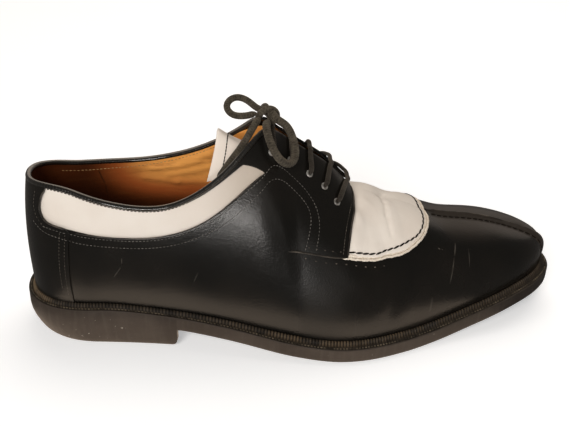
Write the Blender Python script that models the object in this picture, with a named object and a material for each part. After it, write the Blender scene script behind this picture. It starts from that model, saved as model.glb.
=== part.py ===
"""Two-tone lace-up dress shoe for the right foot, standing empty on its heel and ball.

Tables and named sizes are in millimetres in the shoemaker's own frame: x runs from the back of the
heel to the tip of the toe, y from the lateral (outer) to the medial (inner) side, z up from the floor.
place() turns that into metres around the middle of the sole's outline.
"""
import math
from collections import namedtuple

import bmesh
import bpy
import numpy as np
from mathutils import Matrix, Vector

MM = 0.001
LATERAL, MEDIAL = -1, 1
SIDE_NAME = {LATERAL: "lateral", MEDIAL: "medial"}

# Driving dimensions
LENGTH = 305.0            # sole, heel to toe
SEAT = 0.3                # gap between two pieces that meet
MERGE = 0.02              # points closer than this are one
OUTSOLE_THICK = 5.0
WELT_THICK = 3.2
HEEL_BREAST = 81.0        # front face of the heel block
HEEL_INSET = 1.2          # heel block inside the outsole's edge, at its top
HEEL_PITCH_BACK = 7.5     # the same at the floor, behind
HEEL_PITCH_FRONT = 1.8    # the same at the floor, beside the breast
HEEL_ROUND = 2.2          # worn edge round the floor face: its height
HEEL_WORN = 1.1           # and its width
EDGE_ROUND = 0.7          # eased edge of the outsole
WELT_ROUND = 0.4          # eased edge of the welt
BEAD_HIGH = 2.3           # welt's raised inner bead, above its top
BEAD_WIDE = 1.7
BEAD_LEAN = 0.34          # how far the bead's outer face leans in
WELT_UNDER = 6.0          # welt's reach inside the upper's outer face
UPPER_WALL = 2.0
INSOLE_THICK = 2.5
TONGUE_THICK = 2.2
TONGUE_GAP = 1.0          # tongue below the inside of the upper
TONGUE_CROWN = 0.1        # tongue's rise between the facings, as a part of their half gap
EYELET_RIM = 3.2          # radius of the eyelet's flange
EYELET_SIDES = 12
BAR_THICK = 3.0           # lace drawn tight across the throat
LACE_THICK = 3.8          # lace of the bow
KNOT_HALF = (4.4, 5.6, 3.6)
KNOT_BACK = 3.0           # knot behind the middle of the top bar
KNOT_SIDES, KNOT_RINGS = 14, 8
CORD_STEP = 4.2           # spacing of the points read from a lace's route

HEEL_RUN, HEEL_POWER = 38.0, 2.1    # round back: its length and the power of its curve
TOE_RUN, TOE_POWER = 49.3, 2.62     # blunt toe: the same

STATIONS = 42             # sections from heel to toe on each side of the sole pieces
HEEL_STATIONS = 16        # the same on the heel block
UPPER_STATIONS = 58
UPPER_ROWS = 9            # faces from the feather edge up to the top line

# Reach of the welt's edge on each side of the centre line
Outline = namedtuple("Outline", "x lateral medial")
OUTLINE = (
    Outline(0, 32.7, 34.7),
    Outline(40, 33.6, 32.4),
    Outline(75, 37.3, 29.0),
    Outline(110, 45.1, 27.5),
    Outline(145, 54.8, 34.5),
    Outline(180, 58.3, 45.7),
    Outline(205, 52.3, 49.3),
    Outline(230, 43.8, 50.0),
    Outline(255, 35.6, 48.6),
    Outline(280, 27.5, 45.1),
    Outline(305, 19.7, 40.3),
)

# Underside of the outsole: heel seat, arch, flat spot at the ball, toe spring
Profile = namedtuple("Profile", "x z")
PROFILE = (
    Profile(0, 14.0),
    Profile(40, 15.5),
    Profile(75, 12.4),
    Profile(110, 7.6),
    Profile(145, 1.8),
    Profile(170, 0.0),
    Profile(205, 0.0),
    Profile(220, 0.9),
    Profile(250, 5.8),
    Profile(280, 11.6),
    Profile(305, 13.8),
)

# Sections of the last, from the feather edge on the welt to the top line. inset is the feather edge
# inside the welt's edge; spine is the middle of the top; reach and top place the collar or the facing on
# each side, with no reach where the vamp is closed; flare and rise lead the wall off the welt; out and
# drop lead the section into the top line.
Section = namedtuple(
    "Section", "x inset spine_x spine_y reach_lat reach_med top_lat top_med flare rise out drop")
SECTIONS = (
    Section(0, 4.5, 40.0, 0.0, 33.5, 33.5, 90.0, 90.0, 1.5, 24, 4.0, 24),
    Section(10, 4.5, 42.0, 0.0, 32.0, 31.5, 91.5, 87.3, 2.0, 24, 4.0, 24),
    Section(28, 4.5, 46.0, -0.2, 28.0, 27.5, 89.5, 84.8, 2.5, 25, 4.0, 25),
    Section(50, 4.0, 55.0, -0.8, 27.5, 27.0, 84.0, 84.2, 3.0, 24, 4.5, 24),
    Section(75, 4.0, 75.0, -1.5, 28.0, 27.0, 82.3, 86.0, 3.0, 24, 6.0, 22),
    Section(96, 4.5, 92.0, -2.0, 26.0, 25.5, 90.0, 92.0, 3.0, 25, 8.0, 22),
    Section(112, 5.0, 105.0, -2.2, 23.0, 22.5, 101.0, 100.5, 3.0, 27, 10.0, 22),
    Section(126, 5.5, 116.5, -2.0, 18.0, 18.0, 112.0, 110.0, 3.0, 30, 14.0, 20),
    Section(138, 6.0, 127.0, -1.6, 11.0, 11.0, 116.5, 115.0, 3.0, 32, 18.0, 18),
    Section(148, 6.0, 136.5, -1.2, 5.0, 5.0, 111.5, 111.0, 3.0, 34, 20.0, 17),
    Section(162, 6.0, 150.0, -0.8, 4.5, 4.5, 101.5, 101.5, 3.0, 34, 22.0, 16),
    Section(178, 6.0, 164.0, -0.2, 4.5, 4.5, 91.0, 91.0, 3.0, 33, 23.0, 14),
    Section(192, 6.0, 176.0, 0.6, 4.0, 4.0, 79.0, 79.0, 3.0, 32, 25.0, 9),
    Section(200, 6.0, 184.0, 1.2, 0.0, 0.0, 74.0, 74.0, 3.0, 30, 27.0, 3),
    Section(214, 6.0, 198.0, 2.4, 0.0, 0.0, 68.0, 68.0, 3.0, 28, 28.0, 0),
    Section(228, 6.0, 213.0, 3.6, 0.0, 0.0, 62.2, 62.2, 3.0, 25, 29.0, 0),
    Section(243, 6.0, 229.0, 5.0, 0.0, 0.0, 55.0, 55.0, 3.0, 22, 30.0, 0),
    Section(258, 6.0, 244.0, 6.4, 0.0, 0.0, 51.8, 51.8, 3.0, 21, 30.0, 0),
    Section(272, 6.0, 258.0, 7.6, 0.0, 0.0, 49.2, 49.2, 3.0, 20, 28.0, 0),
    Section(285, 6.0, 270.0, 8.6, 0.0, 0.0, 46.0, 46.0, 3.0, 18, 25.0, 0),
    Section(296, 6.0, 280.0, 9.6, 0.0, 0.0, 43.0, 43.0, 2.5, 16, 20.0, 0),
    Section(305, 6.0, 287.0, 10.2, 0.0, 0.0, 40.8, 40.8, 2.0, 14, 13.0, 0),
)
THROAT_END = 200.0        # section where the two sides close over the vamp

# Tongue: sections that it lies under, then how it carries on past the facings; slant takes its low sides
# further back than its middle, and keep is the part of its arch that is left where it sinks in the throat
TONGUE_ROOT = 188.0
TONGUE_LEAVES = 144.0
TONGUE_ROWS = 9
TONGUE_HEIGHTS = (0.70, 0.77, 0.84, 0.92, 1.0)    # places up the section, from its edge to the facing
Roll = namedtuple("Roll", "back lift narrow slant keep")
TONGUE_ROLL = (
    Roll(6.0, 1.8, 0.86, 0.12, 0.43),
    Roll(13.0, 2.8, 0.77, 0.25, 0.52),
    Roll(20.0, 2.2, 0.71, 0.38, 0.71),
    Roll(27.0, 0.2, 0.67, 0.50, 1.0),
)
Sink = namedtuple("Sink", "x keep")
TONGUE_SINK = (Sink(144, 0.48), Sink(149, 0.60), Sink(154, 0.76), Sink(160, 0.90), Sink(168, 1.0))

# Eyelets, top to bottom: section, height up the section, section where the bar meets the facing's edge,
# and the bar's sag over the throat
Eyelet = namedtuple("Eyelet", "x height bar_x sag")
EYELETS = (
    Eyelet(138, 0.86, 141, 1.0),
    Eyelet(150, 0.845, 153, 0.3),
    Eyelet(160, 0.83, 164, 0.2),
    Eyelet(168, 0.80, 177, 0.2),
    Eyelet(174, 0.74, 189, 0.2),
)
# Flange of an eyelet, as a turned profile
Flange = namedtuple("Flange", "radius height")
EYELET_FLANGE = (
    Flange(1.7, 0.0),
    Flange(EYELET_RIM, 0.0),
    Flange(2.9, 0.63),
    Flange(2.3, 0.9),
    Flange(1.7, 0.54),
)
# Lie of a bar from its eyelet to the facing's edge: part of the way, and height of its underside
BAR_LIE = ((0.0, 1.5), (0.35, 1.5), (0.6, 0.7), (0.85, 0.6), (1.0, 0.6))

# Bow: routes of the lace from the knot, as points picked by hand along each loop and end
LOOP_LATERAL = (
    (131.0, -10.4, 120.4), (129.2, -15.5, 119.6), (129.6, -20.5, 116.6), (131.6, -25.0, 111.6),
    (135.2, -27.2, 106.2), (139.6, -26.0, 103.2), (143.0, -22.6, 104.0), (143.8, -18.8, 108.6),
    (142.4, -14.6, 114.0), (139.4, -11.8, 118.4), (135.4, -9.6, 120.8),
)
LOOP_MEDIAL = (
    (126.0, 0.2, 120.6), (122.4, -0.6, 119.8), (117.4, 0.0, 119.0), (112.8, 2.4, 119.4),
    (110.6, 5.4, 121.8), (112.0, 8.6, 124.2), (116.2, 10.4, 125.4), (120.4, 9.6, 124.6),
    (123.6, 7.4, 123.0), (126.4, 5.2, 121.4),
)
END_LATERAL = (
    (126.8, -6.4, 120.6), (124.0, -10.4, 118.6), (120.4, -14.6, 114.4), (116.2, -17.2, 108.6),
    (111.4, -18.6, 102.4), (107.6, -19.6, 97.2), (104.2, -20.0, 92.0),
)
# The medial end lies on the quarter behind the facing: section, height up it, clear height above it
END_MEDIAL_LIE = ((135, 1.0, 4.6), (131, 0.93, 1.2), (130, 0.85, 0.5), (131, 0.77, 0.4), (132, 0.69, 0.4),
                  (133, 0.61, 0.4))
END_MEDIAL_START = (131.0, 5.6, 120.8)
# Point of a route: its distance from the start, then its place
RoutePoint = namedtuple("RoutePoint", "x along across up")


def smooth(table, column):
    """Natural cubic through one column of a table, read against its x."""
    x = np.array([row.x for row in table], float)
    y = np.array([getattr(row, column) for row in table], float)
    span = np.diff(x)
    matrix = np.eye(len(x))
    right = np.zeros(len(x))
    for i in range(1, len(x) - 1):
        matrix[i, i - 1:i + 2] = span[i - 1], 2 * (span[i - 1] + span[i]), span[i]
        right[i] = 6 * ((y[i + 1] - y[i]) / span[i] - (y[i] - y[i - 1]) / span[i - 1])
    bend = np.linalg.solve(matrix, right)

    def value(at):
        at = min(max(at, x[0]), x[-1])
        i = min(max(int(np.searchsorted(x, at)) - 1, 0), len(span) - 1)
        h = span[i]
        before = x[i + 1] - at
        after = at - x[i]
        curve = (bend[i] * before ** 3 + bend[i + 1] * after ** 3) / (6 * h)
        return (curve + (y[i] / h - bend[i] * h / 6) * before
                + (y[i + 1] / h - bend[i + 1] * h / 6) * after)

    return value


def level(table, column):
    """Cubic through one column that never overshoots, so that flat stretches stay flat."""
    x = np.array([row.x for row in table], float)
    y = np.array([getattr(row, column) for row in table], float)
    span = np.diff(x)
    slope = np.diff(y) / span
    lean = np.concatenate([slope[:1], np.zeros(len(x) - 2), slope[-1:]])
    for i in range(1, len(x) - 1):
        if slope[i - 1] * slope[i] > 0:
            near = 2 * span[i] + span[i - 1]
            far = span[i] + 2 * span[i - 1]
            lean[i] = (near + far) / (near / slope[i - 1] + far / slope[i])

    def value(at):
        at = min(max(at, x[0]), x[-1])
        i = min(max(int(np.searchsorted(x, at)) - 1, 0), len(span) - 1)
        t = (at - x[i]) / span[i]
        start = (1 + 2 * t) * (1 - t) ** 2 * y[i] + t * (1 - t) ** 2 * span[i] * lean[i]
        end = t * t * (3 - 2 * t) * y[i + 1] + t * t * (t - 1) * span[i] * lean[i + 1]
        return start + end

    return value


reach_of_sole = {LATERAL: smooth(OUTLINE, "lateral"), MEDIAL: smooth(OUTLINE, "medial")}
sole_bottom = level(PROFILE, "z")
feather_inset = smooth(SECTIONS, "inset")
section = {column: smooth(SECTIONS, column) for column in Section._fields[2:]}
section["reach_lat"] = level(SECTIONS, "reach_lat")
section["reach_med"] = level(SECTIONS, "reach_med")
tongue_keep = level(TONGUE_SINK, "keep")


def station_x(u):
    """x of a station: u runs from 0 at the heel to 1 at the toe, closest together at both ends."""
    return LENGTH * (1 - math.cos(math.pi * u)) / 2


def station_u(x):
    return math.acos(1 - 2 * x / LENGTH) / math.pi


def outline(u, side):
    """Welt's edge on one side, as x and y."""
    x = station_x(u)
    heel = min(max((HEEL_RUN - x) / HEEL_RUN, 0), 1)
    toe = min(max((x - LENGTH + TOE_RUN) / TOE_RUN, 0), 1)
    left = (1 - heel ** HEEL_POWER) ** (1 / HEEL_POWER) * (1 - toe ** TOE_POWER) ** (1 / TOE_POWER)
    lateral = reach_of_sole[LATERAL](x)
    medial = reach_of_sole[MEDIAL](x)
    return Vector((x, (medial - lateral) / 2 + side * left * (medial + lateral) / 2))


def inset_outline(u, side, inset):
    """Welt's edge moved inwards, square to itself."""
    if u <= 0:
        return outline(0, side) + Vector((inset, 0))
    if u >= 1:
        return outline(1, side) - Vector((inset, 0))
    step = 1e-4
    along = outline(min(u + step, 1), side) - outline(max(u - step, 0), side)
    inwards = Vector((along.y, -along.x)).normalized() * side
    return outline(u, side) + inwards * inset


def middle_of_outline():
    stations = [i / STATIONS for i in range(STATIONS + 1)]
    low = min(outline(u, LATERAL).y for u in stations)
    high = max(outline(u, MEDIAL).y for u in stations)
    return (low + high) / 2


MIDDLE = Vector((LENGTH / 2, middle_of_outline(), 0))
WELT_TOP = OUTSOLE_THICK + SEAT + WELT_THICK      # above the outsole's underside
FEATHER = WELT_TOP + SEAT


def place(point):
    """Shoemaker's millimetres to metres around the middle of the sole."""
    return (Vector(point) - MIDDLE) * MM


def upper_point(u, v, side):
    """Outside of the upper: u from heel to toe, v from the feather edge to the top line."""
    x = station_x(u)
    foot = inset_outline(u, side, feather_inset(x))
    spine = Vector((section["spine_x"](x), section["spine_y"](x)))
    outward = (foot - spine).normalized()
    end = "lat" if side == LATERAL else "med"
    top = spine + outward * max(section["reach_" + end](x), 0)
    out = outward.to_3d()
    up = Vector((0, 0, 1))
    feather = Vector((foot.x, foot.y, sole_bottom(foot.x) + FEATHER))
    edge = Vector((top.x, top.y, section["top_" + end](x)))
    wall = feather + out * section["flare"](x) + up * section["rise"](x)
    crown = edge + out * section["out"](x) - up * section["drop"](x)
    w = 1 - v
    return feather * w ** 3 + wall * 3 * v * w * w + crown * 3 * v * v * w + edge * v ** 3


def upper_normal(u, v, side):
    """Unit normal of upper_point, pointing out of the shoe."""
    step = 1e-3
    along = upper_point(min(u + step, 1), v, side) - upper_point(max(u - step, 0), v, side)
    up = upper_point(u, min(v + step, 1), side) - upper_point(u, max(v - step, 0), side)
    return along.cross(up).normalized() * -side


def over_upper(x, v, side, height):
    """Point at a height above the outside of the upper."""
    u = station_u(x)
    return upper_point(u, v, side) + upper_normal(u, v, side) * height


# Finishes and mesh helpers


def finish(name, colour, roughness, metallic=0.0):
    material = bpy.data.materials.new(name)
    material.use_nodes = True
    shader = material.node_tree.nodes["Principled BSDF"]
    shader.inputs["Base Color"].default_value = (*colour, 1.0)
    shader.inputs["Roughness"].default_value = roughness
    shader.inputs["Metallic"].default_value = metallic
    material.diffuse_color = (*colour, 1.0)
    return material


def add_object(name, data, material):
    data.materials.append(material)
    piece = bpy.data.objects.new(name, data)
    bpy.context.scene.collection.objects.link(piece)
    return piece


def mesh_piece(name, bm, material, crease=35.0):
    """Closes off a bmesh as a named object, smooth across edges flatter than crease."""
    bmesh.ops.recalc_face_normals(bm, faces=bm.faces)
    mesh = bpy.data.meshes.new(name)
    bm.to_mesh(mesh)
    bm.free()
    mesh.shade_smooth()
    mesh.set_sharp_from_angle(angle=math.radians(crease))
    return add_object(name, mesh, material)


def thicken(piece, thickness):
    """Gives an open sheet its wall, inwards from the modelled face."""
    wall = piece.modifiers.new("wall", "SOLIDIFY")
    wall.thickness = thickness * MM
    wall.offset = -1
    wall.use_even_offset = True
    wall.use_quality_normals = True


def trip_round(last_u):
    """Stations along the lateral side to last_u and back along the medial side to the heel."""
    count = STATIONS if last_u >= 1 else HEEL_STATIONS
    steps = [last_u * i / count for i in range(count + 1)]
    back = steps[1:-1] if last_u >= 1 else steps[1:]
    return [(u, LATERAL) for u in steps] + [(u, MEDIAL) for u in reversed(back)]


def add_girth(bm, inset, height, last_u=1.0):
    """Loop of vertices round the sole; inset and height are functions of x."""
    loop = []
    for u, side in trip_round(last_u):
        edge = inset_outline(u, side, inset(station_x(u)))
        loop.append(bm.verts.new(place((edge.x, edge.y, height(edge.x)))))
    return loop


def bridge(bm, lower, upper):
    count = len(lower)
    for i in range(count):
        j = (i + 1) % count
        bm.faces.new((lower[i], lower[j], upper[j], upper[i]))


def cap(bm, loop):
    """Closes a loop with strips straight across the shoe."""
    count = len(loop)
    for i in range(count // 2):
        corners = [loop[i], loop[i + 1], loop[count - i - 1], loop[(count - i) % count]]
        bm.faces.new(list(dict.fromkeys(corners)))


def slab(name, girths, material, last_u=1.0):
    """Solid through loops given from the bottom up as pairs of inset and height functions."""
    bm = bmesh.new()
    loops = [add_girth(bm, inset, height, last_u) for inset, height in girths]
    for lower, upper in zip(loops, loops[1:]):
        bridge(bm, lower, upper)
    cap(bm, loops[0])
    cap(bm, loops[-1])
    return mesh_piece(name, bm, material)


def same(value):
    return lambda x: value


def above_sole(height):
    return lambda x: sole_bottom(x) + height


def inside_feather(inset):
    """Inset measured from the upper's outer face, positive inwards."""
    return lambda x: feather_inset(x) + inset


# Sole pieces


def make_outsole(material):
    slab("outsole", (
        (same(EDGE_ROUND), above_sole(0.0)),
        (same(0.0), above_sole(EDGE_ROUND)),
        (same(0.0), above_sole(OUTSOLE_THICK)),
    ), material)


def heel_pitch(x):
    """Inset of the heel's floor face, most at the back."""
    back = max(1 - x / HEEL_BREAST, 0)
    return HEEL_PITCH_FRONT + (HEEL_PITCH_BACK - HEEL_PITCH_FRONT) * back ** 2


def make_heel(material):
    slab("heel", (
        (heel_pitch, same(0.0)),
        (lambda x: heel_pitch(x) - HEEL_WORN, same(HEEL_ROUND)),
        (same(HEEL_INSET), above_sole(-SEAT)),
    ), material, station_u(HEEL_BREAST))


def make_welt(material):
    """Ring on the outsole's rim, with a bead that stands against the upper."""
    under = OUTSOLE_THICK + SEAT
    corners = (
        (same(0.0), above_sole(under)),
        (same(0.0), above_sole(WELT_TOP - WELT_ROUND)),
        (same(WELT_ROUND), above_sole(WELT_TOP)),
        (inside_feather(-SEAT - BEAD_WIDE), above_sole(WELT_TOP)),
        (inside_feather(BEAD_LEAN - SEAT - BEAD_WIDE), above_sole(WELT_TOP + BEAD_HIGH)),
        (inside_feather(-2 * SEAT), above_sole(WELT_TOP + BEAD_HIGH)),
        (inside_feather(-SEAT), above_sole(WELT_TOP)),
        (inside_feather(WELT_UNDER), above_sole(WELT_TOP)),
        (inside_feather(WELT_UNDER), above_sole(under)),
    )
    bm = bmesh.new()
    loops = [add_girth(bm, inset, height) for inset, height in corners]
    for lower, upper in zip(loops, loops[1:] + loops[:1]):
        bridge(bm, lower, upper)
    mesh_piece("welt", bm, material)


def make_insole(material):
    """Rests on the outsole inside the welt, with a lip on the welt out to the upper's inside."""
    plug = inside_feather(WELT_UNDER + SEAT)
    lip = inside_feather(UPPER_WALL + 2 * SEAT)
    slab("insole", (
        (plug, above_sole(OUTSOLE_THICK + SEAT)),
        (plug, above_sole(FEATHER)),
        (lip, above_sole(FEATHER)),
        (lip, above_sole(FEATHER + INSOLE_THICK)),
    ), material)


# Upper and tongue


def make_upper(material):
    """Outside of the last as one sheet, joined at heel, toe and vamp ridge, then given its wall."""
    bm = bmesh.new()
    closes = station_u(THROAT_END)
    verts = {}

    def vertex(i, j, side):
        u = i / UPPER_STATIONS
        on_ridge = j == UPPER_ROWS and u >= closes
        shared = on_ridge or i in (0, UPPER_STATIONS)
        key = (i, j, LATERAL if shared else side)
        if key not in verts:
            verts[key] = bm.verts.new(place(upper_point(u, j / UPPER_ROWS, key[2])))
        return verts[key]

    for side in (LATERAL, MEDIAL):
        for i in range(UPPER_STATIONS):
            for j in range(UPPER_ROWS):
                bm.faces.new((vertex(i, j, side), vertex(i + 1, j, side),
                              vertex(i + 1, j + 1, side), vertex(i, j + 1, side)))
    thicken(mesh_piece("upper", bm, material, 180.0), UPPER_WALL)


def tongue_section(x):
    """Points across the tongue under one section, from the lateral edge to the medial one."""
    under = -(UPPER_WALL + TONGUE_GAP)
    sides = {}
    for side in (LATERAL, MEDIAL):
        sides[side] = [over_upper(x, v, side, under) for v in TONGUE_HEIGHTS]
    lateral_top = sides[LATERAL][-1]
    medial_top = sides[MEDIAL][-1]
    crown = (lateral_top + medial_top) / 2
    crown.z += TONGUE_CROWN * (medial_top - lateral_top).length / 2
    return sides[LATERAL] + [crown] + sides[MEDIAL][::-1]


def sunk(row, keep):
    """Row with its arch pressed down towards the line between its two edges."""
    low, high = row[0].z, row[-1].z
    made = []
    for i, point in enumerate(row):
        floor = low + (high - low) * i / (len(row) - 1)
        made.append(Vector((point.x, point.y, floor + (point.z - floor) * keep)))
    return made


def tongue_rows():
    """Sections from the root to the facings' top, then the last one carried back and rolled."""
    step = (TONGUE_LEAVES - TONGUE_ROOT) / TONGUE_ROWS
    places = [TONGUE_ROOT + step * i for i in range(TONGUE_ROWS + 1)]
    rows = [sunk(tongue_section(x), tongue_keep(x)) for x in places]
    last = tongue_section(TONGUE_LEAVES)
    crown = last[len(last) // 2]
    for roll in TONGUE_ROLL:
        squeeze = Vector((1, roll.narrow, 1))
        row = []
        for point in last:
            shift = Vector((roll.slant * (point.z - crown.z) - roll.back, 0, roll.lift))
            row.append(crown + (point - crown) * squeeze + shift)
        rows.append(sunk(row, roll.keep))
    return rows


def make_tongue(material):
    bm = bmesh.new()
    rows = [[bm.verts.new(place(point)) for point in row] for row in tongue_rows()]
    for low, high in zip(rows, rows[1:]):
        for i in range(len(low) - 1):
            bm.faces.new((low[i], high[i], high[i + 1], low[i + 1]))
    piece = mesh_piece("tongue", bm, material, 180.0)
    if piece.data.polygons[0].normal.z < 0:
        piece.data.flip_normals()
    thicken(piece, TONGUE_THICK)


# Eyelets and lace


def make_eyelet(name, x, height, side, material):
    """Turned flange, seated on the facing and square to it."""
    bm = bmesh.new()
    verts = [bm.verts.new((row.radius * MM, 0, row.height * MM)) for row in EYELET_FLANGE]
    edges = [bm.edges.new((verts[i], verts[i - 1])) for i in range(len(verts))]
    bmesh.ops.spin(bm, geom=verts + edges, cent=(0, 0, 0), axis=(0, 0, 1), angle=2 * math.pi,
                   steps=EYELET_SIDES, use_merge=True)
    bmesh.ops.remove_doubles(bm, verts=bm.verts, dist=MERGE * MM)
    seat = place(over_upper(x, height, side, SEAT))
    turn = upper_normal(station_u(x), height, side).to_track_quat("Z", "X").to_matrix().to_4x4()
    bmesh.ops.transform(bm, matrix=Matrix.Translation(seat) @ turn, verts=bm.verts)
    mesh_piece(name, bm, material)


def read_route(points, step):
    """Evenly spaced points on a smooth curve through a route."""
    distance = 0.0
    rows = []
    for i, point in enumerate(points):
        if i:
            distance += (Vector(point) - Vector(points[i - 1])).length
        rows.append(RoutePoint(distance, *point))
    curves = [smooth(rows, column) for column in ("along", "across", "up")]
    count = max(round(distance / step), 2)
    return [Vector([curve(distance * i / count) for curve in curves]) for i in range(count + 1)]


def make_lace(name, points, thickness, material):
    """Round tube along a route, with closed ends."""
    curve = bpy.data.curves.new(name, "CURVE")
    curve.dimensions = "3D"
    curve.bevel_depth = thickness / 2 * MM
    curve.bevel_resolution = 2
    curve.use_fill_caps = True
    route = read_route(points, CORD_STEP)
    spline = curve.splines.new("POLY")
    spline.points.add(len(route) - 1)
    for spot, point in zip(spline.points, route):
        spot.co = (*place(point), 1.0)
    add_object(name, curve, material)


def bar_route(eyelet):
    """From the lateral eyelet over both facings to the medial one."""
    runs = {}
    for side in (LATERAL, MEDIAL):
        runs[side] = []
        for part, clear in BAR_LIE:
            x = eyelet.x + (eyelet.bar_x - eyelet.x) * part
            v = eyelet.height + (1 - eyelet.height) * part
            runs[side].append(over_upper(x, v, side, clear + BAR_THICK / 2))
    middle = (runs[LATERAL][-1] + runs[MEDIAL][-1]) / 2 - Vector((0, 0, eyelet.sag))
    return runs[LATERAL] + [middle] + runs[MEDIAL][::-1]


def make_knot(material):
    """Plain solid of the knot, on the middle of the top bar."""
    top_bar = bar_route(EYELETS[0])
    rise = BAR_THICK / 2 + SEAT + KNOT_HALF[2]
    centre = top_bar[len(top_bar) // 2] + Vector((-KNOT_BACK, 0, rise))
    bm = bmesh.new()
    bmesh.ops.create_uvsphere(bm, u_segments=KNOT_SIDES, v_segments=KNOT_RINGS, radius=MM)
    bmesh.ops.scale(bm, vec=KNOT_HALF, verts=bm.verts)
    bmesh.ops.translate(bm, vec=place(centre), verts=bm.verts)
    mesh_piece("lace_knot", bm, material)


def make_lacing(steel, cord):
    for number, eyelet in enumerate(EYELETS, 1):
        for side in (LATERAL, MEDIAL):
            make_eyelet(f"eyelet_{SIDE_NAME[side]}_{number}", eyelet.x, eyelet.height, side, steel)
        make_lace(f"lace_bar_{number}", bar_route(eyelet), BAR_THICK, cord)
    make_knot(cord)
    half = LACE_THICK / 2
    end_medial = [END_MEDIAL_START]
    end_medial += [over_upper(x, v, MEDIAL, clear + half) for x, v, clear in END_MEDIAL_LIE]
    make_lace("lace_loop_lateral", LOOP_LATERAL, LACE_THICK, cord)
    make_lace("lace_loop_medial", LOOP_MEDIAL, LACE_THICK, cord)
    make_lace("lace_end_lateral", END_LATERAL, LACE_THICK, cord)
    make_lace("lace_end_medial", end_medial, LACE_THICK, cord)


def main():
    for old in list(bpy.data.objects):
        bpy.data.objects.remove(old, do_unlink=True)
    sole_leather = finish("sole_leather", (0.045, 0.036, 0.030), 0.55)
    welt_leather = finish("welt_leather", (0.10, 0.07, 0.045), 0.6)
    lining = finish("lining_leather", (0.42, 0.21, 0.06), 0.5)
    black_leather = finish("black_leather", (0.012, 0.011, 0.010), 0.32)
    white_leather = finish("white_leather", (0.78, 0.72, 0.65), 0.45)
    make_outsole(sole_leather)
    make_heel(sole_leather)
    make_welt(welt_leather)
    make_insole(lining)
    make_upper(black_leather)
    make_tongue(white_leather)
    steel = finish("eyelet_steel", (0.55, 0.55, 0.56), 0.25, 1.0)
    cord = finish("lace_cord", (0.030, 0.026, 0.021), 0.8)
    make_lacing(steel, cord)


main()
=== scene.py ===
"""Looks of a two-tone lace-up dress shoe for the right foot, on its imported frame.

Places are in the shoemaker's millimetres: x from the back of the heel to the tip of the toe, y from the
lateral (outer) to the medial (inner) side, z up from the floor. On the upper a place is a section x and
a height v up that section, from 0 at the welt to 1 at the top line or at the ridge of the vamp.
"""
import math
from collections import namedtuple
from contextlib import contextmanager
from functools import reduce

import bmesh
import bpy
import numpy as np
from mathutils import Matrix, Vector
from mathutils.bvhtree import BVHTree


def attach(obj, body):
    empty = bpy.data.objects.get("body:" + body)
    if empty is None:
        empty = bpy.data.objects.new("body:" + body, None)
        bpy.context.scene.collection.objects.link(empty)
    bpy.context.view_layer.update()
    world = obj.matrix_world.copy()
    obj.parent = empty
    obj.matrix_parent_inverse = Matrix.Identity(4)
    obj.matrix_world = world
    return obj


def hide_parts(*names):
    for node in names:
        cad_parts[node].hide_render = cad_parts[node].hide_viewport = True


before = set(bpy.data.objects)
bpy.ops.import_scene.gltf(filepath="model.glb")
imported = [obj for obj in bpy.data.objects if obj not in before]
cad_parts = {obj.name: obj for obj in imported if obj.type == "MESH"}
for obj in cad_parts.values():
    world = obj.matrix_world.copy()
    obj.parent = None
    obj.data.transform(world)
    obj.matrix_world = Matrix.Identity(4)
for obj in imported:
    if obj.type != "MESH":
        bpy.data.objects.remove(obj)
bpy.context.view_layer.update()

MM = 0.001
LATERAL, MEDIAL = -1, 1
SIDES = {"lateral": LATERAL, "medial": MEDIAL}
UP = np.array((0.0, 0.0, 1.0))

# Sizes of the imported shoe
LENGTH = 305.0
SEAT = 0.3
OUTSOLE_THICK = 5.0
WELT_THICK = 3.2
WELT_TOP = OUTSOLE_THICK + SEAT + WELT_THICK
FEATHER = WELT_TOP + SEAT
HEEL_BREAST = 81.0
HEEL_CORNER = 5.0
HEEL_RUN, HEEL_POWER = 38.0, 2.1
TOE_RUN, TOE_POWER = 49.3, 2.62
STATIONS = 42
UPPER_WALL = 2.0
INSOLE_THICK = 2.5
TONGUE_GAP, TONGUE_CROWN = 1.0, 0.1
TONGUE_ROOT, TONGUE_LEAVES, TONGUE_ROWS = 188.0, 144.0, 9
TONGUE_HEIGHTS = (0.70, 0.77, 0.84, 0.92, 1.0)

# Map of the skin, read by the materials: x / MAP_X, and q = side * (1 - v), where 1 is about GIRTH mm
MAP_X = 100.0
GIRTH = 80.0

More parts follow.
